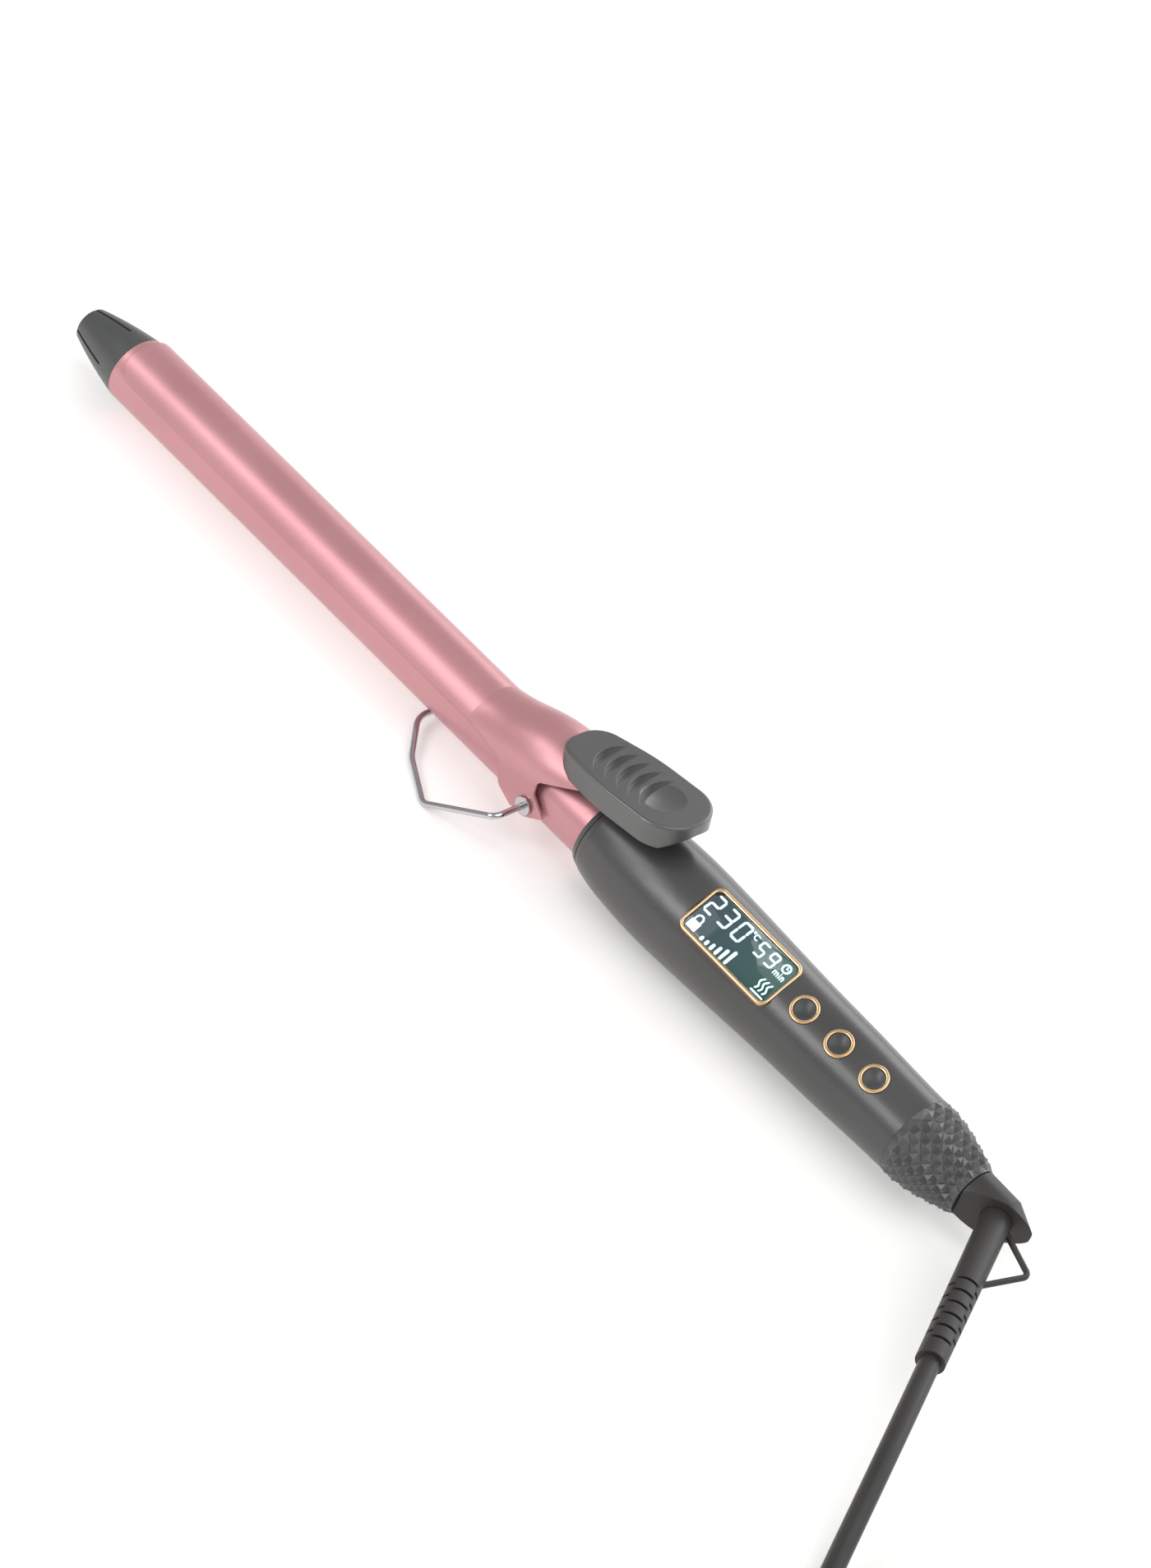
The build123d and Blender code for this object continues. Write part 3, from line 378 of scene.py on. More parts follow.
PALE_FLOOR = Finish(
    "pale_floor", (0.86, 0.855, 0.84), (0.85, 0.845, 0.83),
    gloss=(0.7, 0.8), grain_mm=2.0, relief_mm=0.0, glow=0.26,
)
LCD_ENDS_MM = (78.3, 114.5)
LCD_FIELD = Backlight("lcd_field", linear(46, 60, 72), linear(40, 84, 78), 0.55, LCD_ENDS_MM)
LCD_INK = Backlight("lcd_ink", linear(222, 246, 252), linear(226, 250, 250), 1.0, LCD_ENDS_MM)
CLEAR_WINDOW = ClearWindow("clear_window", (0.93, 0.97, 0.97))

NODE_FINISHES: dict[str, Surface] = {
    "cool_tip": CHARCOAL_TIP,
    "barrel": PINK_LACQUER,
    "clip": PINK_LACQUER,
    "lever_pad": CHARCOAL_PAD,
    "pad_rivet": BRUSHED_STEEL,
    "hinge_rivets": CHROME_WIRE,
    "stand": CHROME_WIRE,
    "front_collar": CHARCOAL_SHELL,
    "handle_upper": CHARCOAL_SHELL,
    "handle_lower": CHARCOAL_SHELL,
    "shell_screws": BRUSHED_STEEL,
    "rear_grip": CHARCOAL_GRIP,
    "display_module": LCD_FIELD,
    "circuit_board": GREEN_BOARD,
    "tact_switches": BLACK_KEYCAP,
    "filter_choke": BRUSHED_STEEL,
    "heater_core": PALE_CERAMIC,
    "heater_clamps": PLAIN_ALUMINIUM,
    "thermal_fuse": PALE_CERAMIC,
    "heater_leads": RED_LEAD,
    "mains_leads": RED_LEAD,
    "swivel_socket": BLACK_SOCKET,
    "swivel_retainer": BRUSHED_STEEL,
    "cord_boot": BLACK_SOCKET,
    "cord_tie": BLACK_CORD,
    "plug_body": BLACK_SOCKET,
    "plug_pins": CHROME_WIRE,
}


def deselect() -> None:
    """Leave edit mode and deselect every object."""
    if bpy.context.object and bpy.context.object.mode != "OBJECT":
        bpy.ops.object.mode_set(mode="OBJECT")
    bpy.ops.object.select_all(action="DESELECT")


def dress(piece: bpy.types.Object, finish: Surface) -> None:
    """Give a piece one finish all over.

    Args:
        piece: The piece to dress.
        finish: The finish that it gets.
    """
    material = finish.material()
    if piece.data.materials:
        for index in range(len(piece.data.materials)):
            piece.data.materials[index] = material
    else:
        piece.data.materials.append(material)


def settle(piece: bpy.types.Object, place: Matrix) -> None:
    """Move a finished mesh to its place and leave its object at the origin.

    Args:
        piece: The piece, modelled round the origin.
        place: Its place in the row frame.
    """
    deselect()
    piece.matrix_world = place
    piece.select_set(True)
    bpy.context.view_layer.objects.active = piece
    bpy.ops.object.transform_apply(location=True, rotation=True, scale=True)


def apply_bevel(piece: bpy.types.Object, width_mm: float, segments: int) -> None:
    """Round the sharp edges of a piece for good.

    Args:
        piece: The piece to round.
        width_mm: Width of the rounding.
        segments: Flats in each rounding.
    """
    deselect()
    bpy.context.view_layer.objects.active = piece
    piece.select_set(True)
    bevel = piece.modifiers.new("round", "BEVEL")
    bevel.width = width_mm * MM
    bevel.segments = segments
    bevel.limit_method = "ANGLE"
    bevel.angle_limit = SHARP
    bpy.ops.object.modifier_apply(modifier=bevel.name)
    bpy.ops.object.shade_smooth_by_angle(angle=HARD)


def open_through(piece: bpy.types.Object, edge_mm: float) -> None:
    """Cut a plate's middle out and leave a rim, in edit mode.

    Args:
        piece: The plate, lying flat and open for editing.
        edge_mm: Width of the rim.
    """
    bpy.ops.mesh.select_mode(type="FACE")
    mesh = bmesh.from_edit_mesh(piece.data)
    for face in mesh.faces:
        face.select_set(abs(face.normal.z) > math.cos(SHARP))
    mesh.select_flush_mode()
    bmesh.update_edit_mesh(piece.data)
    bpy.ops.mesh.inset(thickness=edge_mm * MM, use_even_offset=True, use_individual=True)
    bpy.ops.mesh.bridge_edge_loops()
    bpy.ops.mesh.select_mode(type="VERT")
    bpy.ops.mesh.select_all(action="SELECT")
    bpy.ops.mesh.normals_make_consistent(inside=False)


def turned(name: str, outline: list[Point2], steps: int = 56) -> bpy.types.Object:
    """Turn an outline round the upright axis, as on a lathe.

    Args:
        name: Name of the piece.
        outline: Distances from the axis and heights in order, in millimetres.
        steps: Flats in a full turn.

    Returns:
        The turned piece, round the origin.
    """
    deselect()
    bpy.ops.mesh.primitive_plane_add(size=MM)
    piece = bpy.context.object
    piece.name = name
    bpy.ops.object.mode_set(mode="EDIT")
    bpy.ops.mesh.merge(type="CENTER")
    bpy.ops.transform.translate(value=(outline[0][0] * MM, 0.0, outline[0][1] * MM))
    for start, end in zip(outline, outline[1:]):
        step = ((end[0] - start[0]) * MM, 0.0, (end[1] - start[1]) * MM)
        bpy.ops.mesh.extrude_vertices_move(TRANSFORM_OT_translate={"value": step})
    bpy.ops.mesh.select_all(action="SELECT")
    bpy.ops.mesh.spin(steps=steps, angle=math.tau, center=(0.0, 0.0, 0.0), axis=(0.0, 0.0, 1.0))
    bpy.ops.mesh.select_all(action="SELECT")
    bpy.ops.mesh.remove_doubles(threshold=WELD)
    bpy.ops.mesh.select_all(action="SELECT")
    bpy.ops.mesh.normals_make_consistent(inside=False)
    deselect()
    return piece


def twin(piece: bpy.types.Object, name: str) -> bpy.types.Object:
    """Copy a piece with a mesh of its own.

    Args:
        piece: The piece to copy.
        name: Name of the copy.

    Returns:
        The copy, in the same place.
    """
    copy = piece.copy()
    copy.data = piece.data.copy()
    copy.name = name
    bpy.context.scene.collection.objects.link(copy)
    return copy


@dataclass
class Panel:
    """The turned top of the handle, with the display's plane and the keys' axes.

    Attributes:
        hinge_x_mm: Place of the clip's hinge along X.
        axis_z_mm: Height of the handle's axis.
        turn_deg: Turn of the panel about the axis.
        display_at_mm: Distance of the display's middle from the hinge.
        display_high_mm: Height of the display's face above the axis.
        display_fall_deg: How much the display falls towards the cord.
    """

    hinge_x_mm: float = 15.2
    axis_z_mm: float = 16.0
    turn_deg: float = 30.0
    display_at_mm: float = 81.2
    display_high_mm: float = 14.75
    display_fall_deg: float = 2.1

    def frame_at(self, along_mm: float, high_mm: float, fall_deg: float = 0.0) -> Matrix:
        """Place on the panel with X to the cord and Z out of the handle.

        Args:
            along_mm: Distance from the clip's hinge.
            high_mm: Height above the handle's axis.
            fall_deg: How much the place falls towards the cord.

        Returns:
            The place in the row frame.
        """
        start = Matrix.Translation((self.hinge_x_mm * MM, 0.0, self.axis_z_mm * MM))
        turn = Matrix.Rotation(math.radians(self.turn_deg), 4, "X")
        out = Matrix.Translation((along_mm * MM, 0.0, high_mm * MM))
        fall = Matrix.Rotation(math.radians(fall_deg), 4, "Y")
        return start @ turn @ out @ fall

    def display(self) -> Matrix:
        """Place of the display's face."""
        return self.frame_at(self.display_at_mm, self.display_high_mm, self.display_fall_deg)


@dataclass
class Ink:
    """Lit strokes drawn flat on the display, in millimetres from its middle.

    Attributes:
        name: Name of the piece.
        thick_mm: Thickness of the strokes.
        round_points: Corners of a stroke's round ends.
        bend_deg: Turn of each short stroke in an arc.
        ahead: Least product of two lengths that puts a corner at a stroke's far end.
        piece: The mesh that the strokes go into.
    """

    name: str
    thick_mm: float = 0.08
    round_points: int = 12
    bend_deg: float = 20.0
    ahead: float = 1e-12
    piece: bpy.types.Object | None = None

    def start(self) -> None:
        """Add the mesh that the strokes go into and open it for editing."""
        deselect()
        bpy.ops.mesh.primitive_plane_add(size=MM)
        self.piece = bpy.context.object
        self.piece.name = self.name
        bpy.ops.object.mode_set(mode="EDIT")
        bpy.ops.mesh.delete(type="VERT")

    def stroke(self, start: Point2, end: Point2, width: float) -> None:
        """Draw a straight stroke with round ends.

        Args:
            start: First point.
            end: Last point.
            width: Width of the stroke.
        """
        bpy.ops.mesh.select_all(action="DESELECT")
        bpy.ops.mesh.primitive_circle_add(
            vertices=self.round_points, radius=width / 2 * MM, fill_type="NGON",
            location=(start[0] * MM, start[1] * MM, 0.0),
        )
        run = Vector((end[0] - start[0], end[1] - start[1], 0.0)) * MM
        origin = Vector((start[0], start[1], 0.0)) * MM
        mesh = bmesh.from_edit_mesh(self.piece.data)
        added = [v for v in mesh.verts if v.select]
        for vertex in added:
            vertex.select_set((vertex.co - origin).dot(run) > self.ahead)
        mesh.select_flush(False)
        bmesh.update_edit_mesh(self.piece.data)
        bpy.ops.transform.translate(value=run)

    def line(self, points: Sequence[Point2], width: float) -> None:
        """Draw strokes from point to point.

        Args:
            points: Points in order.
            width: Width of the strokes.
        """
        for start, end in zip(points, points[1:]):
            self.stroke(start, end, width)

    def arc(self, middle: Point2, radius: float, begin: float, sweep: float, width: float) -> None:
        """Draw part of a circle as short strokes.

        Args:
            middle: Centre of the circle.
            radius: Radius to the middle of the stroke.
            begin: First angle in degrees.
            sweep: Turn in degrees.
            width: Width of the stroke.
        """
        count = round(abs(sweep) / self.bend_deg)
        angles = [math.radians(begin + sweep * k / count) for k in range(count + 1)]
        x, y = middle
        self.line([(x + radius * math.cos(a), y + radius * math.sin(a)) for a in angles], width)

    def finish(self, place: Matrix) -> bpy.types.Object:
        """Give the strokes their thickness and put them on the display.

        Args:
            place: Place of the plane that they lie on.

        Returns:
            The finished strokes.
        """
        bpy.ops.mesh.select_all(action="SELECT")
        rise = (0.0, 0.0, self.thick_mm * MM)
        bpy.ops.mesh.extrude_region_move(TRANSFORM_OT_translate={"value": rise})
        bpy.ops.mesh.select_all(action="SELECT")
        bpy.ops.mesh.normals_make_consistent(inside=False)
        settle(self.piece, place)
        return self.piece


class Digit(Enum):
    """Lit bars of a seven-bar digit, lettered clockwise from the top, the middle bar last."""

    ZERO = "abcdef"
    TWO = "abged"
    THREE = "abgcd"
    FIVE = "afgcd"
    NINE = "abcdfg"


@dataclass(frozen=True)
class Number:
    """Seven-bar digits of one size in a row, in millimetres.

    Attributes:
        digits: Digits in order, each with the place of its left side.
        low: Height of their feet.
        size: Width and height of a digit.
        bar: Width of a bar.
        slant: Lean of the digits to the right.
        gap: Space at the end of a bar, as a share of its width.
    """

    digits: tuple[tuple[Digit, float], ...]
    low: float
    size: Point2
    bar: float
    slant: float = 0.05
    gap: float = 0.62

    def draw(self, ink: Ink) -> None:
        """Draw the digits.

        Args:
            ink: Strokes that they are added to.
        """
        wide, tall = self.size
        gap = self.bar * self.gap
        bars = {
            "a": ((gap, tall), (wide - gap, tall)),
            "b": ((wide, tall - gap), (wide, tall / 2 + gap)),
            "c": ((wide, tall / 2 - gap), (wide, gap)),
            "d": ((gap, 0.0), (wide - gap, 0.0)),
            "e": ((0.0, tall / 2 - gap), (0.0, gap)),
            "f": ((0.0, tall - gap), (0.0, tall / 2 + gap)),
            "g": ((gap, tall / 2), (wide - gap, tall / 2)),
        }
        for digit, left in self.digits:
            for letter in digit.value:
                start, end = ((left + x + y * self.slant, self.low + y) for x, y in bars[letter])
                ink.stroke(start, end, self.bar)


@dataclass(frozen=True)
class Arc:
    """Part of a circle, in millimetres and degrees.

    Attributes:
        middle: Centre of the circle.
        radius: Radius to the middle of the stroke.
        begin: First angle.
        sweep: Turn from the first angle to the last.
        width: Width of the stroke.
    """

    middle: Point2
    radius: float
    begin: float
    sweep: float
    width: float

    def draw(self, ink: Ink) -> None:
        """Draw the arc.

        Args:
            ink: Strokes that it is added to.
        """
        ink.arc(self.middle, self.radius, self.begin, self.sweep, self.width)


@dataclass(frozen=True)
class Trail:
    """Strokes from point to point, in millimetres.

    Attributes:
        points: Points in order.
        width: Width of the strokes.
        corner: Place that the points are measured from.
    """

    points: tuple[Point2, ...]
    width: float
    corner: Point2 = (0.0, 0.0)

    def draw(self, ink: Ink) -> None:
        """Draw the strokes.

        Args:
            ink: Strokes that they are added to.
        """
        x, y = self.corner
        ink.line([(x + right, y + high) for right, high in self.points], self.width)


@dataclass(frozen=True)
class LevelBars:
    """Upright bars that grow to the right, in millimetres.

    Attributes:
        count: Number of bars.
        first: Place of the first bar.
        pitch: Distance between bars.
        foot: Height of the bars' feet.
        top: Height of the first bar's top.
        growth: Growth of the tops, times the bar's number and the next.
        width: Width of a bar.
    """

    count: int = 6
    first: float = -9.6
    pitch: float = 2.0
    foot: float = -6.3
    top: float = -5.9
    growth: float = 0.12
    width: float = 1.1

    def draw(self, ink: Ink) -> None:
        """Draw the bars.

        Args:
            ink: Strokes that they are added to.
        """
        for k in range(self.count):
            x = self.first + self.pitch * k
            ink.stroke((x, self.foot), (x, self.top + self.growth * k * (k + 1)), self.width)


@dataclass(frozen=True)
class Padlock:
    """Key lock sign: a full body and a bow on two legs, in millimetres.

    Attributes:
        middle: Middle of the body.
        rows: Strokes that fill the body.
        row_half: Half the length of a row.
        row_first: Height of the first row from the middle.
        row_pitch: Distance between rows.
        row_width: Width of a row.
        bow_r: Radius of the bow.
        bow_width: Width of the bow and its legs.
        legs: Heights of the legs' ends from the middle.
    """

    middle: Point2 = (-14.3, -4.9)
    rows: int = 6
    row_half: float = 1.5
    row_first: float = -1.35
    row_pitch: float = 0.48
    row_width: float = 0.58
    bow_r: float = 1.15
    bow_width: float = 0.55
    legs: Point2 = (1.3, 2.2)

    def draw(self, ink: Ink) -> None:
        """Draw the sign.

        Args:
            ink: Strokes that it is added to.
        """
        x, y = self.middle
        foot, head = self.legs
        for k in range(self.rows):
            high = y + self.row_first + self.row_pitch * k
            ink.stroke((x - self.row_half, high), (x + self.row_half, high), self.row_width)
        ink.arc((x, y + head), self.bow_r, 0.0, 180.0, self.bow_width)
        for side in (-self.bow_r, self.bow_r):
            ink.stroke((x + side, y + foot), (x + side, y + head), self.bow_width)


@dataclass(frozen=True)
class Steam:
    """Steam sign: upright waves, in millimetres.

    Attributes:
        count: Number of waves.
        first: Place of the first wave.
        pitch: Distance between waves.
        points: Points of a wave.
        swing: Reach of a wave to each side.
        turn: Turn of a wave from point to point, in radians.
        low: Height of the waves' feet.
        rise: Height from point to point.
        width: Width of the strokes.
    """

    count: int = 3
    first: float = 11.6
    pitch: float = 1.5
    points: int = 9
    swing: float = 0.38
    turn: float = 0.9
    low: float = -5.2
    rise: float = 0.46
    width: float = 0.5

    def draw(self, ink: Ink) -> None:
        """Draw the waves.

        Args:
            ink: Strokes that they are added to.
        """
        for k in range(self.count):
            start = self.first + self.pitch * k
            wave = []
            for t in range(self.points):
                wave.append((start + self.swing * math.sin(t * self.turn), self.low + t * self.rise))
            ink.line(wave, self.width)


UNIT_CORNER = (11.7, 1.2)
UNIT_BAR = 0.34
UNIT_DOT = 0.36
SIGNS: tuple[Number | Arc | Trail | LevelBars | Padlock | Steam, ...] = (
    Number(((Digit.TWO, -16.1), (Digit.THREE, -10.6), (Digit.ZERO, -5.0)), 0.3, (3.1, 5.9), 0.76),
    Number(((Digit.FIVE, 3.2), (Digit.NINE, 7.6)), 1.5, (2.5, 4.4), 0.62),
    Arc((-0.5, 5.9), 0.32, 0.0, 360.0, 0.24),
    Arc((1.0, 5.2), 0.8, 50.0, 260.0, 0.36),
    Arc((13.7, 4.8), 1.25, 0.0, 360.0, 0.5),
    Trail(((13.7, 5.5), (13.7, 4.8), (14.3, 4.8)), 0.32),
    Trail(((0.0, 0.0), (0.0, 1.1)), UNIT_BAR, UNIT_CORNER),
    Trail(((0.0, 0.95), (0.45, 1.15), (0.75, 0.9), (0.75, 0.0)), UNIT_BAR, UNIT_CORNER),
    Trail(((0.75, 0.95), (1.2, 1.15), (1.5, 0.9), (1.5, 0.0)), UNIT_BAR, UNIT_CORNER),
    Trail(((2.2, 0.0), (2.2, 1.1)), UNIT_BAR, UNIT_CORNER),
    Trail(((2.2, 1.62), (2.2, 1.64)), UNIT_DOT, UNIT_CORNER),
    Trail(((2.9, 0.0), (2.9, 1.1)), UNIT_BAR, UNIT_CORNER),
    Trail(((2.9, 0.9), (3.3, 1.15), (3.65, 0.9), (3.65, 0.0)), UNIT_BAR, UNIT_CORNER),
    LevelBars(),
    Padlock(),
    Steam(),
    Trail(((11.2, -6.3), (15.6, -6.3)), 0.55),
)


@dataclass
class Display:
    """Display in the handle: gold frame, clear window and lit numbers.

    Attributes:
        panel: Top of the handle that it sits in.
        length_mm: Length of the frame.
        width_mm: Width of the frame.
        corner_mm: Radius of the frame's corners.
        corner_steps: Flats in a corner.
        edge_mm: Width of the frame's rim.
        deep_mm: Depth of the frame.
        round_mm: Rounding of the frame's edges.
        window_gap_mm: Space between the window and the frame.
        window_sunk_mm: Depth of the window's top under the frame's.
        window_thick_mm: Thickness of the window.
        window_round_mm: Rounding of the window's edges.
        ink_deep_mm: Depth of the lit strokes under the frame's top.
        pieces: Finished pieces.
    """

    panel: Panel
    length_mm: float = 36.2
    width_mm: float = 17.0
    corner_mm: float = 3.0
    corner_steps: int = 10
    edge_mm: float = 1.1
    deep_mm: float = 4.6
    round_mm: float = 0.38
    window_gap_mm: float = 0.02
    window_sunk_mm: float = 0.25
    window_thick_mm: float = 0.85
    window_round_mm: float = 0.12
    ink_deep_mm: float = 1.44
    pieces: list[bpy.types.Object] = field(default_factory=list)

    def plate(self, name: str, inset: float, thick: float) -> bpy.types.Object:
        """Model a plate with round corners, its top at the display's face.

        Args:
            name: Name of the piece.
            inset: How far its outline lies inside the frame's.
            thick: Thickness of the plate.

        Returns:
            The plate, in edit mode and round the origin.
        """
        deselect()
        bpy.ops.mesh.primitive_plane_add(size=1.0)
        piece = bpy.context.object
        piece.name = name
        bpy.ops.object.mode_set(mode="EDIT")
        size = ((self.length_mm - 2 * inset) * MM, (self.width_mm - 2 * inset) * MM, 1.0)
        bpy.ops.transform.resize(value=size)
        corner = (self.corner_mm - inset) * MM
        bpy.ops.mesh.bevel(offset=corner, segments=self.corner_steps, affect="VERTICES")
        bpy.ops.mesh.select_all(action="SELECT")
        bpy.ops.mesh.extrude_region_move(TRANSFORM_OT_translate={"value": (0.0, 0.0, -thick * MM)})
        bpy.ops.mesh.select_all(action="SELECT")
        bpy.ops.mesh.normals_make_consistent(inside=False)
        return piece

    def build_frame(self) -> None:
        """Model the gold frame with rounded edges in place of its solid."""
        piece = self.plate("display_frame", 0.0, self.deep_mm)
        open_through(piece, self.edge_mm)
        deselect()
        apply_bevel(piece, self.round_mm, 3)
        settle(piece, self.panel.display())
        dress(piece, ROSE_GOLD)
        self.keep(piece, "gold", "display_bezel")

    def build_window(self) -> None:
        """Model the clear window in place of its solid, its top sunk a little under the frame's."""
        inset = self.edge_mm + self.window_gap_mm
        piece = self.plate("display_window", inset, self.window_thick_mm)
        deselect()
        apply_bevel(piece, self.window_round_mm, 2)
        sunk = Matrix.Translation((0.0, 0.0, -self.window_sunk_mm * MM))
        settle(piece, self.panel.display() @ sunk)
        dress(piece, CLEAR_WINDOW)
        self.keep(piece, "lens", "display_lens")

    def build_numbers(self) -> None:
        """Draw the lit numbers and signs on the field."""
        ink = Ink("display_numbers")
        ink.start()
        for sign in SIGNS:
            sign.draw(ink)
        sunk = Matrix.Translation((0.0, 0.0, -self.ink_deep_mm * MM))
        piece = ink.finish(self.panel.display() @ sunk)
        dress(piece, LCD_INK)
        self.keep(piece, "screen")

    def keep(self, piece: bpy.types.Object, slot: str, *nodes: str) -> None:
        """Put a piece on the handle and hide the solids that it stands for.

        Args:
            piece: The finished piece.
            slot: Not used.
            nodes: Solids that it stands for.
        """
        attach(piece, Body.IRON.value)
        if nodes:
            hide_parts(*nodes)
        self.pieces.append(piece)

    def build(self) -> list[bpy.types.Object]:
        """Build the display.

        Returns:
            Its pieces.
        """
        self.build_frame()
        self.build_window()
        self.build_numbers()
        return self.pieces


@dataclass
class Keys:
    """Three dished keys, each in a round gold ring.

    Attributes:
        panel: Top of the handle that they sit in.
        places_mm: Distance of each key from the hinge, and height of the handle there.
        foot_mm: Height of the keys' feet above the handle's axis.
        cap_mm: Radius of a cap.
        flange_mm: Radius of the flange that holds a key under its ring.
        flange_sunk_mm: Depth of the flange's top under the handle.
        proud_mm: Height of a cap above the handle.
        dish_mm: Radius of the dish in a cap, and its depth.
        dish_steps: Flats from the rim to the middle of the dish.
        ring_mm: Outer radius and bore of a ring.
        ring_rise_mm: Depth of a ring under the handle, and its height above.
        cap_round_mm: Rounding of a cap's edges.
        ring_round_mm: Rounding of a ring's edges.
        pieces: Finished pieces.
    """

    panel: Panel
    places_mm: tuple[Point2, ...] = ((107.9, 13.98), (122.1, 13.7), (136.4, 13.25))
    foot_mm: float = 10.7
    cap_mm: float = 3.22
    flange_mm: float = 3.9
    flange_sunk_mm: float = 1.9
    proud_mm: float = 0.15
    dish_mm: Point2 = (2.75, 0.7)
    dish_steps: int = 9
    ring_mm: Point2 = (4.4, 3.3)
    ring_rise_mm: Point2 = (1.6, 0.35)
    cap_round_mm: float = 0.16
    ring_round_mm: float = 0.33
    pieces: list[bpy.types.Object] = field(default_factory=list)

    def dish(self) -> list[Point2]:
        """Points of the dish from its rim to its middle, as distance and height.

        Returns:
            The points in order.
        """
        radius, deep = self.dish_mm
        turns = [math.pi / 2 * k / self.dish_steps for k in range(self.dish_steps + 1)]
        return [(radius * math.cos(t), self.proud_mm - deep * math.sin(t) ** 2) for t in turns]

    def build_caps(self) -> None:
        """Model each key in place of its solid."""
        bodies = (Body.KEY_1, Body.KEY_2, Body.KEY_3)
        for body, (along, high) in zip(bodies, self.places_mm):
            foot = self.foot_mm - high
            outline = [(0.0, foot), (self.flange_mm, foot), (self.flange_mm, -self.flange_sunk_mm)]
            outline += [(self.cap_mm, -self.flange_sunk_mm), (self.cap_mm, self.proud_mm)]
            cap = turned(f"key_cap_{body.value[-1]}", outline + self.dish())
            apply_bevel(cap, self.cap_round_mm, 3)
            settle(cap, self.panel.frame_at(along, high))
            dress(cap, BLACK_KEYCAP)
            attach(cap, body.value)
            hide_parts(body.value)
            self.pieces.append(cap)

    def build_rings(self) -> None:
        """Model one gold ring and set a copy round each key."""
        outer, bore = self.ring_mm
        sunk, rise = self.ring_rise_mm
        outline = [(outer, -sunk), (outer, rise), (bore, rise), (bore, -sunk), (outer, -sunk)]
        pattern = turned("key_ring_1", outline)
        apply_bevel(pattern, self.ring_round_mm, 5)
        rings = [pattern] + [twin(pattern, f"key_ring_{k}") for k in (2, 3)]
        for ring, (along, high) in zip(rings, self.places_mm):
            settle(ring, self.panel.frame_at(along, high))
            dress(ring, ROSE_GOLD)
            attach(ring, Body.IRON.value)
            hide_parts("button_rings")
            self.pieces.append(ring)

    def build(self) -> list[bpy.types.Object]:
        """Build the keys and their rings.

        Returns:
            The pieces.
        """
        self.build_caps()
        self.build_rings()
        return self.pieces


